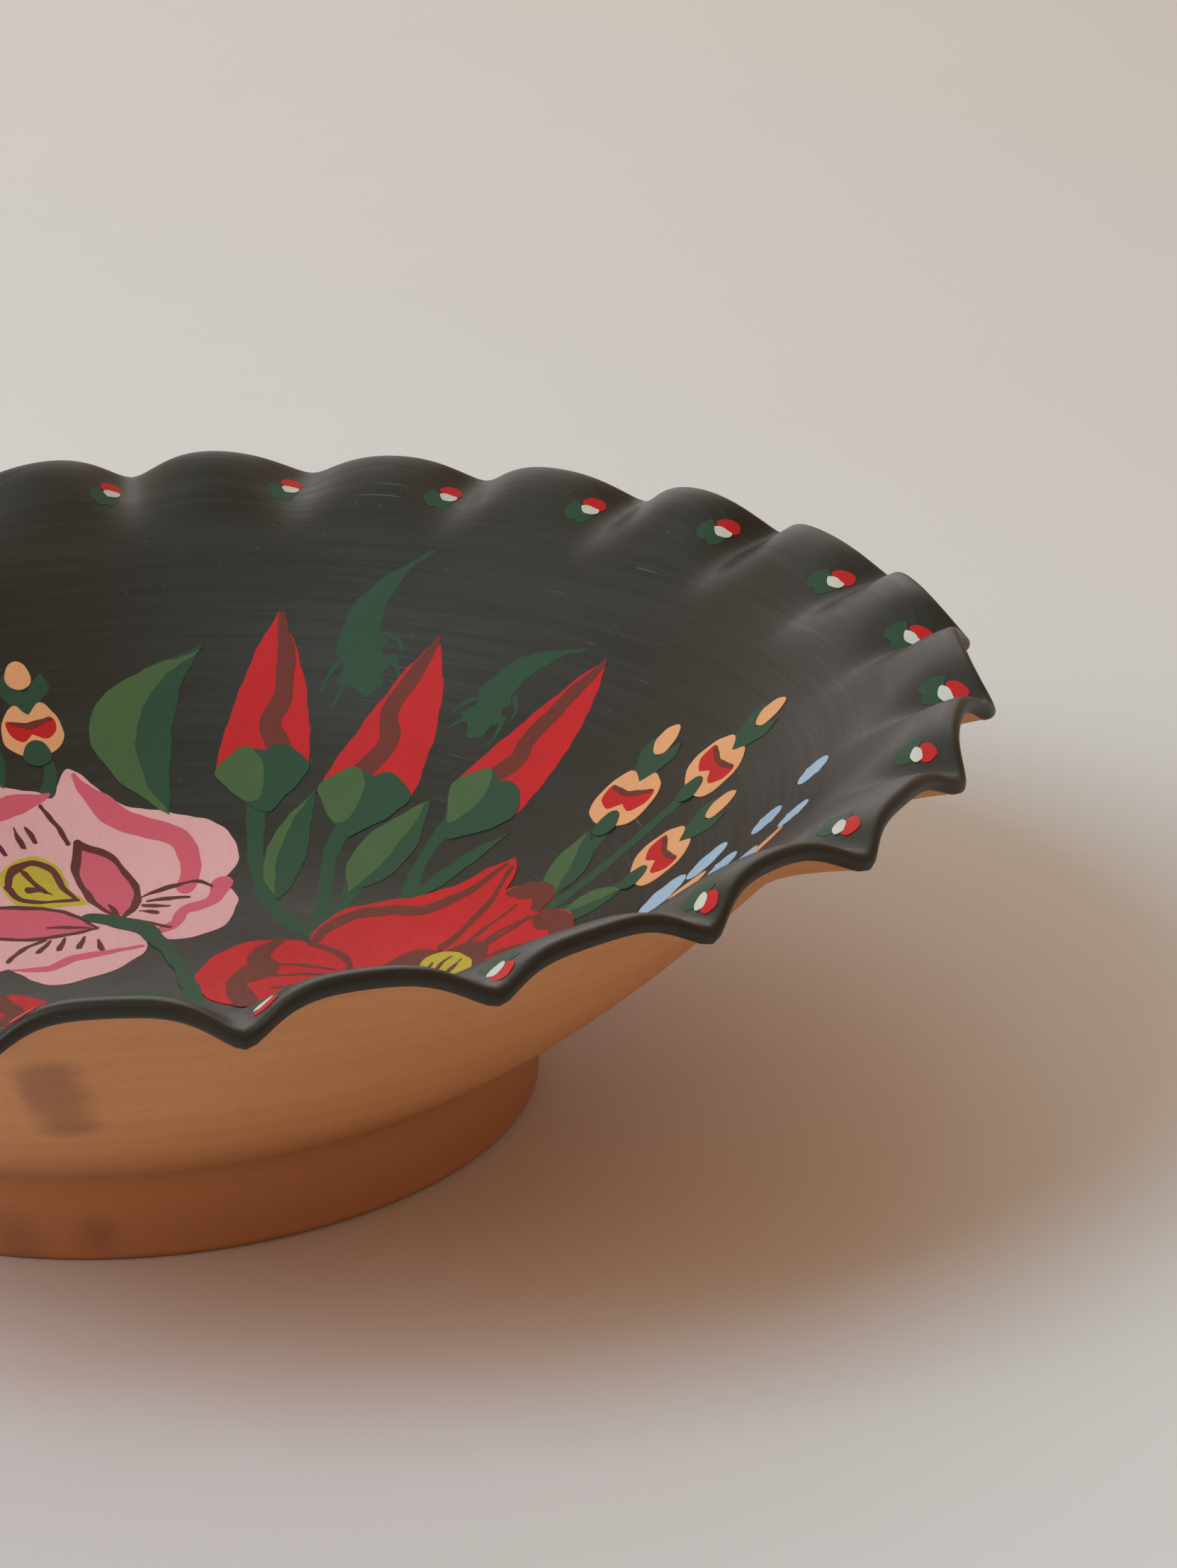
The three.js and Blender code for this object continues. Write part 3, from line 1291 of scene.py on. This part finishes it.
@dataclass
class Bud:
    """A peach bud on a green stalk, with a red band, two sepals and a smaller bud beyond it."""

    length: float = 10.3
    width: float = 14.0
    top_length: float = 6.0
    reach: float = 17.0  # to the middle of the smaller bud

    def paint(self, work: Brushwork) -> None:
        """Paints the sepals, both buds and the band.

        Args:
            work: The motif's brushwork.
        """
        end, half = self.length, self.width / 2
        work.patch(Paint.DARK_GREEN, 0, (
            (end - 3, 0), (end + 1, 3.2), (self.reach - 2, 4.6), (self.reach + 0.5, 2.8),
            (self.reach - 2.4, 1.2), (self.reach - 3, -0.4), (self.reach, -3.6), (self.reach - 3, -4.6),
            (end + 0.6, -2.6),
        ), (3, 6))
        work.oval(Paint.PEACH, 1, (self.reach, 0.4), self.top_length, 4.6)
        body = (
            (0, 2.2), (end * 0.16, half * 0.86), (end * 0.5, half), (end * 0.84, half * 0.84),
            (end + 0.4, half * 0.4), (end - 1.6, 0), (end + 0.4, -half * 0.4), (end * 0.84, -half * 0.84),
            (end * 0.5, -half), (end * 0.16, -half * 0.86), (0, -2.2),
        )
        work.patch(Paint.PEACH, 1, body, (5,))
        band = (
            (end * 0.72, half * 0.76), (end * 0.64, 0.4), (end * 0.72, -half * 0.76),
            (end * 0.46, -half * 0.78), (end * 0.3, -half * 0.4), (end * 0.42, 0), (end * 0.3, half * 0.4),
            (end * 0.46, half * 0.78),
        )
        work.patch(Paint.RED, 2, band, (5,))
        line = ((end * 0.69, half * 0.66), (end * 0.61, 0), (end * 0.69, -half * 0.66))
        work.stroke(Paint.DARK_RED, 3, line, (0.7, 1.3, 0.7))
        work.oval(Paint.DARK_GREEN, 3, (0.2, 0), 5.2, 4.8)


@dataclass
class Blossom:
    """A pink flower with scalloped petals round a yellow eye; its heart is the middle of its axes."""

    def paint(self, work: Brushwork) -> None:
        """Paints the petals, their deep bands, the eye and the fine brown lines.

        Args:
            work: The motif's brushwork.
        """
        self._petals(work)
        self._bands(work)
        self._heart(work)
        self._veins(work)

    def _petals(self, work: Brushwork) -> None:
        """Paints the pale ground of the petals.

        Args:
            work: The motif's brushwork.
        """
        work.patch(Paint.PINK, 0, (
            (-5, 28), (-1.8, 33.2), (6, 26), (14.5, 23), (22, 19), (24.6, 12), (21.5, 6), (23.4, 0.5),
            (20.6, -7.2), (15.5, -10.6), (9, -10), (7.8, -16), (1.5, -22.4), (-6, -24.6), (-12, -17.5),
            (-21, -21.5), (-31, -17.5), (-35, -7), (-31, 2), (-38, 8), (-37.5, 19), (-29, 27), (-19, 30),
            (-11, 29),
        ), (0, 6, 10, 14, 18))

    def _bands(self, work: Brushwork) -> None:
        """Paints the deep pink bands near the petals' edges.

        Args:
            work: The motif's brushwork.
        """
        bands = (
            (
                ((-1.2, 32), (2, 27.2), (7.5, 21.6), (14.2, 18.4), (16.8, 12.4), (15.6, 5.6)),
                (0.8, 4.6, 4.2, 3.6, 3.0),
            ),
            (((21.4, 5.6), (19.6, 1.4), (15, -1), (13.4, -4.6), (8.8, -9.4)), (3.2, 2.6, 2.2, 2.2, 0.8)),
            (((8, -12.6), (2.5, -14), (-2.5, -15.4), (-6, -18.4), (-11.6, -18)), (0.8, 1.8, 2.4, 2.0, 0.8)),
            (((-5.4, 28), (-9.8, 26.2), (-15, 23.6), (-22, 23.8)), (0.8, 4.4, 3.6, 1.2)),
            (((-34, 8.6), (-33.4, 15), (-29, 21)), (1.0, 3.4, 1.0)),
            (((-30.4, -1), (-29.6, -9), (-24, -15.6)), (1.0, 2.8, 0.8)),
        )
        for spine, widths in bands:
            work.stroke(Paint.DEEP_PINK, 1, spine, widths)

    def _heart(self, work: Brushwork) -> None:
        """Paints the two inner petals and the yellow eye, each edged in brown.

        Args:
            work: The motif's brushwork.
        """
        right = (
            (-1, 17.6), (3.6, 14.6), (6.4, 10.4), (7.8, 5.2), (7.4, 1.4), (5, -2), (2.2, 1.2), (0, 6),
            (-1.2, 12),
        )
        work.patch(Paint.DEEP_PINK, 1, right, (0, 5))
        low = (
            (1.4, -4.2), (-3, 1), (-8, 2.4), (-14, 2.4), (-22, 0), (-27, -2.6), (-18, -5.8), (-11, -7),
            (-5, -6.6),
        )
        work.patch(Paint.DEEP_PINK, 1, low, (0, 5))
        eye = (
            (-13.6, 9.6), (-11, 13.8), (-8, 15), (-5, 13.2), (-3, 10), (-2.2, 6.6), (0.6, 3.2), (-5, 2.4),
            (-10.5, 2.6),
        )
        work.patch(Paint.YELLOW, 1, eye, (6,))
        edges = (
            (((-1, 17.8), (4, 14.6), (7.2, 8.6), (7.8, 3), (5, -2.2)), (1.6, 1.2, 1.0, 1.4, 0.8)),
            (((-1, 17.8), (-1.4, 11), (0.4, 5), (5, -2.2)), (1.6, 1.2, 1.0, 0.8)),
            (
                ((1.4, -4.4), (-3, 0.9), (-8, 2.2), (-14, 2.3), (-22, 0), (-27, -2.6)),
                (0.6, 0.9, 0.9, 0.8, 0.6),
            ),
            (((1.4, -4.4), (-5, -6.6), (-11, -7), (-18, -5.8), (-27, -2.6)), (0.7, 1.0, 0.9, 0.8, 0.5)),
            (
                ((-1.4, 4.4), (-3.8, 8), (-5.2, 11.8), (-8.4, 13.4), (-11.4, 11.4), (-12.2, 7.4)),
                (0.7, 1.2, 1.5, 1.2),
            ),
            (((-12.2, 7.4), (-10.4, 4.6), (-6, 4), (-1.4, 4.4)), (1.2, 1.0, 0.9, 0.7)),
        )
        for spine, widths in edges:
            work.stroke(Paint.BROWN, 2, spine, widths)
        for spine in (((-9.6, 11), (-8, 8.4), (-6.2, 6.4)), ((-9, 7), (-7, 7), (-5.4, 6))):
            work.stroke(Paint.BROWN, 2, spine, (1.4, 0.9, 0.5))

    def _veins(self, work: Brushwork) -> None:
        """Paints the fine brown lines on the petals.

        Args:
            work: The motif's brushwork.
        """
        veins = (
            ((-6.8, 25.6), (-4.4, 21.8), (-2.6, 17.8)), ((-11.2, 20.6), (-9.6, 16.6)),
            ((-9.4, 21), (-7.8, 18)), ((-14.6, 17.6), (-12.6, 15)),
            ((8.2, 4), (13, 6.2), (17.4, 6.8), (19.6, 5.2)), ((9.6, 3), (16, 3)), ((8.6, 1.8), (12.6, 1)),
            ((8.2, 0.2), (10.8, -0.8)), ((6.8, -2.6), (9.6, -4), (12.6, -6.2)),
            ((-6.4, -7.4), (-9.6, -10), (-12.4, -15)), ((-7.8, -12.2), (-5.8, -8)),
            ((-4.6, -11.8), (-3.6, -7.4)), ((-1.6, -11.6), (-0.6, -7.4)), ((2.0, -13), (1.5, -8.8)),
            ((-6, -3.4), (0.4, -4.2)), ((3.4, 2.6), (4.6, -0.6)), ((-20, 17), (-18, 13)),
            ((-24, -8), (-20, -7)), ((-25, -12), (-20.6, -9.6)), ((-27, 12), (-22, 9)),
            ((-28.6, 8.4), (-22.6, 7)),
        )
        for vein in veins:
            work.stroke(Paint.BROWN, 2, vein, (0.5, 1.0, 0.6))


@dataclass
class Tulip:
    """An open red flower with dark bands and a yellow middle, which is near the middle of its axes."""

    def paint(self, work: Brushwork) -> None:
        """Paints the petals, their dark bands and tips, and the yellow middle.

        Args:
            work: The motif's brushwork.
        """
        heart = ((-6, 4), (0, 9), (8, 9.5), (13, 3), (11, -6), (2, -9), (-5, -4))
        work.patch(Paint.DARK_RED, 0, heart)
        self._petals(work)
        self._bands(work)
        middle = ((4.4, 0), (6.4, 4.2), (9.8, 3.6), (12.2, -0.8), (12, -5.2), (9, -7.4), (5.4, -5))
        work.patch(Paint.YELLOW, 3, middle)
        lines = (
            ((5.4, -4.6), (8, 0.2), (9.6, 1.6)), ((7, -5.8), (9.8, -1.6), (11, -0.6)),
            ((5.2, -2), (6.6, 1.4)),
        )
        for line in lines:
            work.stroke(Paint.BROWN, 4, line, (1.0, 0.9, 0.5))

    def _petals(self, work: Brushwork) -> None:
        """Paints the red petals.

        Args:
            work: The motif's brushwork.
        """
        left = (
            (-28.6, 5), (-27, 12), (-21.6, 18.6), (-16, 19.6), (-10.6, 16.8), (-6.4, 11), (-5.4, 5),
            (-9, -1.2), (-17, -3.4), (-25, -3),
        )
        top = (
            (-10.6, 17.4), (-8.6, 22.4), (-4.6, 25.6), (1, 25), (7, 23.2), (13, 21.8), (18.6, 21.8),
            (23.6, 21), (22.4, 16), (15, 9.6), (9.6, 5.4), (4, 7.6), (-4, 4),
        )
        right = (
            (8.6, 6), (13, 10.6), (18.6, 13.8), (23.6, 12.6), (27.8, 8.4), (27.4, 4.2), (23.6, 1.8),
            (17, 0.6), (11, 0.4),
        )
        low = (
            (10.6, 0.6), (17, 2.0), (22.6, 2.4), (26.6, 0.6), (29, -4.4), (28.8, -9.6), (26.4, -12.2),
            (20, -9.8), (14, -6.4),
        )
        low_left = ((-9, -2), (-2, 0), (4, -4), (4, -11), (-2, -18), (-10, -20), (-16, -14), (-15, -6))
        low_right = ((4, -5), (12, -5), (19, -7.4), (21, -13), (16, -18), (9, -18), (4, -12))
        for petal in (left, low_left, low_right, low, right):
            work.patch(Paint.RED, 1, petal)
        work.patch(Paint.RED, 1, top, (7,))

    def _bands(self, work: Brushwork) -> None:
        """Paints the dark bands, tips and fine lines.

        Args:
            work: The motif's brushwork.
        """
        bands = (
            (((-15, 19), (-18.6, 14), (-18.4, 9), (-22.4, 4), (-21.6, -3)), (2.0, 3.4, 6.0, 3.0, 4.4)),
            (
                ((-10.4, 16), (-7.6, 21), (-3, 23.2), (2, 22), (6.4, 19.2), (12, 18.4), (17, 19), (22, 20.4)),
                (1.0, 2.6, 2.8, 2.4, 2.6, 1.8, 0.8),
            ),
            (((-11, -3), (-12, -9), (-9, -15)), (1.2, 3.0, 1.2)),
            (((17, -10), (16, -13.6), (11, -15.6)), (1.2, 2.4, 1.0)),
            (((-10.6, 16.6), (-6.8, 12), (-5.4, 7), (-6.4, 3)), (1.2, 1.4, 1.2, 0.8)),
        )
        for spine, widths in bands:
            work.stroke(Paint.DARK_RED, 2, spine, widths)
        high_tip = (
            (20.6, 13.2), (24.6, 12.0), (27.7, 8.2), (27.3, 4.4), (24.6, 2.2), (23.4, 4.4), (24, 7),
            (22, 9.4),
        )
        work.patch(Paint.DARK_RED, 2, high_tip, (4,))
        low_tip = (
            (23.4, 2.2), (26.6, 0.6), (28.9, -4.4), (28.7, -9.4), (26, -12), (24, -10.4), (25, -6),
            (23, -2.4),
        )
        work.patch(Paint.DARK_RED, 2, low_tip, (0,))
        hollow = ((9, 4), (12.4, 4.4), (15.4, 1.6), (15, -2.6), (12.6, -6), (10, -4), (10.6, 0))
        work.patch(Paint.DARK_RED, 2, hollow)
        work.stroke(Paint.DARK_RED, 2, ((22.6, 19), (18, 13.4), (13, 9), (9, 6)), (0.6, 1.3, 1.5, 1.8))
        work.stroke(Paint.DARK_RED, 2, ((11.6, 0.8), (17, 1.6), (22.6, 2.2)), (1.4, 1.2, 1.2))
        lines = (
            ((-7.8, 6), (-12, 8.4), (-16, 9.8)), ((-7.8, 3.4), (-12.4, 5.2), (-17, 5.6)),
            ((-8.8, 0.4), (-13, 1.2), (-17.4, 1)), ((10.6, 3), (16, 6.2), (21.6, 8)),
            ((12.4, 1), (17, 2.8), (21, 3)), ((12.4, -3), (17, -3.4), (21.6, -5.4)),
        )
        for line in lines:
            work.stroke(Paint.DARK_RED, 2, line, (0.6, 1.1, 0.5))


@dataclass
class BlueSprig:
    """Loose blue petals scattered along the first axis, round two orange dabs."""

    petals: tuple[tuple[float, float, float, float], ...] = (  # their middle, length and width
        (18.8, 2.8, 7.4, 6.2), (9.2, -1.0, 7.4, 6.2), (12.6, -12.0, 7.4, 6.4), (-1.2, 5.2, 9.0, 6.0),
        (0.2, -3.8, 7.4, 6.4), (-9.4, 6.6, 10.4, 7.6), (-7.0, -3.4, 7.2, 6.0), (3.4, -12.6, 6.4, 5.6),
    )
    turn: float = 12.0  # degrees from the first axis to the petals' own length
    hearts: tuple[Points, ...] = (((-7.6, 1.6), (-3.4, 0.2)), ((5.0, -16.2), (9, -15)))

    def paint(self, work: Brushwork) -> None:
        """Paints the petals and the two hearts.

        Args:
            work: The motif's brushwork.
        """
        for along, across, length, width in self.petals:
            reach = heading(self.turn) * (length - width) / 2
            ends = ((along - reach[0], across - reach[1]), (along + reach[0], across + reach[1]))
            work.stroke(Paint.BLUE, 0, ends, (width * 0.8, width, width * 0.86))
        for start, end in self.hearts:
            work.stroke(Paint.PEACH, 1, (start, end), (2.4, 3.4, 2.6))


@dataclass
class RimDab:
    """A small white bud with red and green beside it; the first axis points out to the lip."""

    def paint(self, work: Brushwork) -> None:
        """Paints the green, red and white dabs.

        Args:
            work: The motif's brushwork.
        """
        green = (
            (1.2, 4.6), (0.6, 2.2), (-1, 0.8), (-1.2, -1.4), (-3.4, -2.2), (-5.6, -0.8), (-5, 1.4),
            (-5.6, 3), (-3.6, 5), (-1.2, 5.6),
        )
        work.patch(Paint.DARK_GREEN, 0, green, (6,))
        red = ((0.6, 1.8), (2, 2.8), (3.6, 2.2), (4.6, 0.4), (4.2, -1.6), (2.6, -2.8), (0.8, -2.2))
        work.patch(Paint.RED, 1, red)
        work.oval(Paint.WHITE, 2, (-0.2, -0.2), 3.0, 4.6)


@dataclass
class Painting:
    """All the motifs on the black ground."""

    maker: FilmMaker
    dab_reach: float = 131.0  # from the middle of the chart to the dabs along the rim
    dab_shift: float = 2.2  # how much further out they are at -Y, and further in at +Y
    dab_ahead: float = -0.3  # degrees on the chart from a low corner of the flutes to its dab
    dab_waver: float = 0.7  # how many degrees, and millimetres, a dab may stray
    dab_size: float = 0.68
    dab_growth: float = 0.08  # how much one dab's size differs from the mean

    def sprays(self) -> list[Brushwork]:
        """Paints everything but the rim.

        Returns:
            The brushwork of each motif.
        """
        halves = {"right": Spot(0, 0), "left": Spot(-10, 16, 205)}
        works = []
        for side, base in halves.items():
            works += self._pepper_spray(side, base)
        for side, base in halves.items():
            works += self._stalks_and_buds(side, base)
        return works + self._blossoms()

    def _at(self, base: Spot, own: Spot) -> Spot:
        """The place on the chart of a spot given in the axes of another one."""
        x, y = base.placed(np.array([[own.x, own.y]]))[0].tolist()
        return Spot(x, y, base.turn + own.turn, base.size * own.size)

    def _motif(self, name: str, motif: Motif, spot: Spot, layer: int = 0) -> Brushwork:
        """Paints one motif.

        Args:
            name: Its name.
            motif: What is painted.
            spot: Where it stands on the chart.
            layer: How many coats of paint lie under it.

        Returns:
            Its brushwork.
        """
        work = Brushwork(name, spot, layer)
        motif.paint(work)
        return work

    def _pepper_spray(self, side: str, base: Spot) -> list[Brushwork]:
        """Three peppers and their leaves, which rise from one place.

        Args:
            side: Which half of the painting it is, for the names.
            base: Where the half's own axes are.

        Returns:
            The brushwork of each motif.
        """
        stems = Brushwork(f"{side}_pepper_stems", base)
        for spine in (
            ((20.6, 60), (19.4, 52), (19.2, 43), (20.4, 35), (24, 27), (27.6, 22.6)),
            ((34.4, 50.6), (31, 44.6), (29.4, 38), (28.4, 31), (26.6, 22.6)),
            ((50.8, 41), (46.6, 37.4), (43.6, 33), (41.4, 27.6)),
            ((33.4, 35), (30.8, 30), (28.8, 24.4)),
        ):
            stems.stroke(Paint.DARK_GREEN, 0, spine, (3.4, 2.6, 2.2, 2.8, 3.2))
        stripes = (
            ((38, -0.4), (28, -1.8), (21.5, -1.4), (17, 0.2), (11, -2)),
            ((38.4, 0), (30.6, 1.8), (24, 3.2), (18.4, 0.8), (11, 3.2)),
            ((37, 0), (27, 1.6), (19, 2), (16, 1.0), (10, 2.8)),
        )
        peppers = (
            (Spot(21.6, 58.6, 78), Pepper(38.2, 8.4, 6.8, stripes[0])),
            (Spot(34, 48.6, 54), Pepper(38.6, 8.4, 8.0, stripes[1])),
            (Spot(50.4, 39, 26.5), Pepper(37.4, 7.6, 8.2, stripes[2])),
        )
        leaves = (
            (Spot(21.4, 36.4, 68), Leaf(25, 2.2, 4.6, 3.0)),
            (Spot(32.6, 34, 42), Leaf(21.6, 6.6, 3.6, -0.8)),
            (Spot(40.6, 26.8, 14), Leaf(20, 0.0, 3.4, 2.6)),
            (Spot(6.2, 60.6, 72), Leaf(33.8, 8.4, 6.2, 9.4, -1.6)),
        )
        works = [stems]
        for number, (spot, leaf) in enumerate(leaves, 1):
            works.append(self._motif(f"{side}_leaf_{number}", leaf, self._at(base, spot), 1))
        for number, (spot, pepper) in enumerate(peppers, 1):
            works.append(self._motif(f"{side}_pepper_{number}", pepper, self._at(base, spot)))
        for number, spot in enumerate((Spot(42.4, 74.6, 52), Spot(57.6, 57.2, 6, 0.82)), 1):
            works.append(self._motif(f"{side}_ragged_leaf_{number}", RaggedLeaf(), self._at(base, spot)))
        return works

    def _stalks_and_buds(self, side: str, base: Spot) -> list[Brushwork]:
        """The open red flower, its three buds and the blue petals beside them.

        Args:
            side: Which half of the painting it is, for the names.
            base: Where the half's own axes are.

        Returns:
            The brushwork of each motif.
        """
        stalks = Brushwork(f"{side}_bud_stalks", base)
        for spine in (
            ((74.6, 17.6), (70, 13.6), (62, 8)), ((89, 9.4), (82, 8.6), (73, 7.4), (62, 5.6)),
            ((75.6, -3.8), (70, -0.6), (62, 3)),
        ):
            stalks.stroke(Paint.DARK_GREEN, 0, spine, (3.2, 2.4, 2.4, 2.8))
        works = [stalks]
        for number, spot in enumerate((Spot(74.8, 18, 33), Spot(89, 9.4, 6), Spot(75.6, -3.6, 0)), 1):
            works.append(self._motif(f"{side}_bud_{number}", Bud(), self._at(base, spot), 1))
        leaves = (
            (Spot(63.4, 8.4, 54), Leaf(14.4, 4.6, 4.0)),
            (Spot(62.6, 1.6, -28), Leaf(12.6, 3.6, 3.2)),
        )
        leaves_below = 4
        for number, (spot, leaf) in enumerate(leaves, leaves_below + 1):
            works.append(self._motif(f"{side}_leaf_{number}", leaf, self._at(base, spot), 1))
        works.append(self._motif(f"{side}_open_flower", Tulip(), self._at(base, Spot(36, 4)), 1))
        works.append(self._motif(f"{side}_blue_sprig", BlueSprig(), self._at(base, Spot(88, -26))))
        return works

    def _blossoms(self) -> list[Brushwork]:
        """The two pink blossoms with their stems, sprays and leaves.

        Returns:
            The brushwork of each motif.
        """
        works = []
        for side, base in (("far", Spot(-8, 38)), ("near", Spot(36, -52, 215))):
            stem = Brushwork(f"{side}_blossom_stem", base, 3)
            spine = ((0.4, -0.8), (4, -2.6), (7.4, -4.6), (9.8, -9), (12.6, -18), (14.4, -28), (15, -38))
            stem.stroke(Paint.DARK_GREEN, 0, spine, (2.4, 4.0, 3.0, 2.4, 2.4, 2.8, 3.2))
            works.append(self._motif(f"{side}_blossom", Blossom(), base))
            works.append(stem)
            spray = Brushwork(f"{side}_spray_stalks", base)
            spray.stroke(Paint.DARK_GREEN, 0, ((-5.4, 28), (-5, 33), (-7, 37.6)), (2.6, 2.2, 2.4))
            works.append(spray)
            top = self._at(base, Spot(-7, 36, 100))
            beside_bud = self._at(base, Spot(-12.6, 29, 112))
            on_stem = self._at(base, Spot(15, -38.6, 152))
            works.append(self._motif(f"{side}_bud", Bud(9.6, 10.4, 5.6, 15.6), top))
            works.append(self._motif(f"{side}_leaf_1", Leaf(20, 4.4, 3.6, 1.4), beside_bud))
            works.append(self._motif(f"{side}_leaf_2", Leaf(17, 3.2, 4.2), on_stem, 1))
        return works

    def rim(self) -> list[Brushwork]:
        """Paints a dab beside each low corner of the flutes.

        Returns:
            One brushwork for all of them.
        """
        whole = Brushwork("rim_dabs", Spot(0, 0))
        count = self.maker.coat.shape.flute_count
        for number in range(count):
            corner = 90.0 - 360.0 / count * number
            angle = corner + self.dab_ahead + self.dab_waver * math.sin(5.0 * number)
            reach = self.dab_reach - self.dab_shift * math.sin(math.radians(corner))
            place = heading(angle) * (reach + self.dab_waver * math.sin(2.0 * number))
            size = self.dab_size + self.dab_growth * math.sin(3.1 * number)
            work = Brushwork("dab", Spot(place[0], place[1], angle, size))
            RimDab().paint(work)
            for paint, daubs in work.daubs.items():
                whole.daubs.setdefault(paint, []).extend(daubs)
        return [whole]

    def build(self, box: PaintBox) -> list[bpy.types.Object]:
        """Makes every piece of the painting.

        Args:
            box: The finishes.

        Returns:
            The pieces.
        """
        pieces = []
        for work in [*self.sprays(), *self.rim()]:
            pieces += self.maker.build(work, box)
        return pieces


# ---- The studio ----


@dataclass(frozen=True)
class Lamp:
    """A square soft light that faces the bowl, in metres and watts."""

    name: str
    place: Place
    size: float
    power: float
    colour: Colour

    def hang(self) -> None:
        """Puts the light in the scene."""
        data = bpy.data.lights.new(self.name, "AREA")
        data.size = self.size
        data.energy = self.power
        data.color = self.colour
        made = bpy.data.objects.new(self.name, data)
        bpy.context.scene.collection.objects.link(made)
        made.location = self.place
        made.rotation_euler = (-Vector(self.place)).to_track_quat("-Z", "Y").to_euler()


@dataclass
class Studio:
    """The floor, the lights and the camera."""

    floor_size: float = 12.0
    room_light: float = 0.5
    room_colour: Colour = (1.0, 0.68, 0.45)
    lamps: tuple[Lamp, ...] = (
        Lamp("high_window", (-1.2, -0.6, 1.5), 0.9, 23.0, (0.45, 0.78, 1.0)),
        Lamp("low_window", (-1.5, -0.5, 1.1), 0.9, 10.0, (1.0, 0.82, 0.80)),
        Lamp("overhead", (-0.6, 0.2, 1.2), 2.2, 4.0, (0.35, 0.85, 1.0)),
        Lamp("high_back", (0.1, 1.6, 1.4), 1.4, 5.5, (0.90, 0.97, 1.0)),
        Lamp("low_back", (-0.2, 2.0, 0.55), 1.2, 3.5, (0.75, 0.84, 0.95)),
    )
    lens: float = 89.5
    sensor: float = 36.0
    eye: Place = (0.0193, -0.52635, 0.2404)
    yaw: float = 5.06  # degrees to the right of +Y
    pitch: float = 20.55  # degrees below level
    roll: float = -1.94
    nearest: float = 0.01  # what is nearer the camera than this isn't seen

    def floor(self) -> None:
        """Lays the floor, level with the bowl's foot."""
        half = self.floor_size / 2 / METRES
        corners = np.array([[-half, -half, 0.0], [half, -half, 0.0], [half, half, 0.0], [-half, half, 0.0]])
        made = mesh_object("floor", corners, [(0, 1, 2, 3)])
        made.data.materials.append(FloorFinish().material())

    def camera(self) -> None:
        """Sets up the scene's camera."""
        data = bpy.data.cameras.new("camera")
        data.lens = self.lens
        data.sensor_width = self.sensor
        data.clip_start = self.nearest
        made = bpy.data.objects.new("camera", data)
        bpy.context.scene.collection.objects.link(made)
        yaw, pitch, roll = (math.radians(turn) for turn in (self.yaw, self.pitch, self.roll))
        ahead = Vector((math.sin(yaw) * math.cos(pitch), math.cos(yaw) * math.cos(pitch), -math.sin(pitch)))
        level = Vector((math.cos(yaw), -math.sin(yaw), 0.0))
        upward = level.cross(ahead)
        right = math.cos(roll) * level + math.sin(roll) * upward
        top = -math.sin(roll) * level + math.cos(roll) * upward
        turned = Matrix((right, top, -ahead)).transposed()
        made.matrix_world = Matrix.Translation(self.eye) @ turned.to_4x4()
        bpy.context.scene.camera = made

    def world(self) -> None:
        """Fills the room with even light."""
        made = bpy.data.worlds.new("room")
        made.use_nodes = True
        background = made.node_tree.nodes["Background"]
        background.inputs["Color"].default_value = (*self.room_colour, 1.0)
        background.inputs["Strength"].default_value = self.room_light
        bpy.context.scene.world = made

    def build(self) -> None:
        """Sets up the whole studio."""
        self.floor()
        self.camera()
        self.world()
        for lamp in self.lamps:
            lamp.hang()
        bpy.context.scene.view_settings.view_transform = "Standard"


def main() -> None:
    """Builds the bowl and the studio, and reports each piece."""
    logging.basicConfig(level=logging.INFO, format="%(message)s")
    Studio().build()
    box = PaintBox()
    shape = BowlShape()
    coat = Coat(shape)
    pieces = [*Body(shape).build(box), *coat.build(box), *Painting(FilmMaker(coat)).build(box)]
    for piece in pieces:
        log.info("%s: %d faces", piece.name, len(piece.data.polygons))


if __name__ == "__main__":
    main()
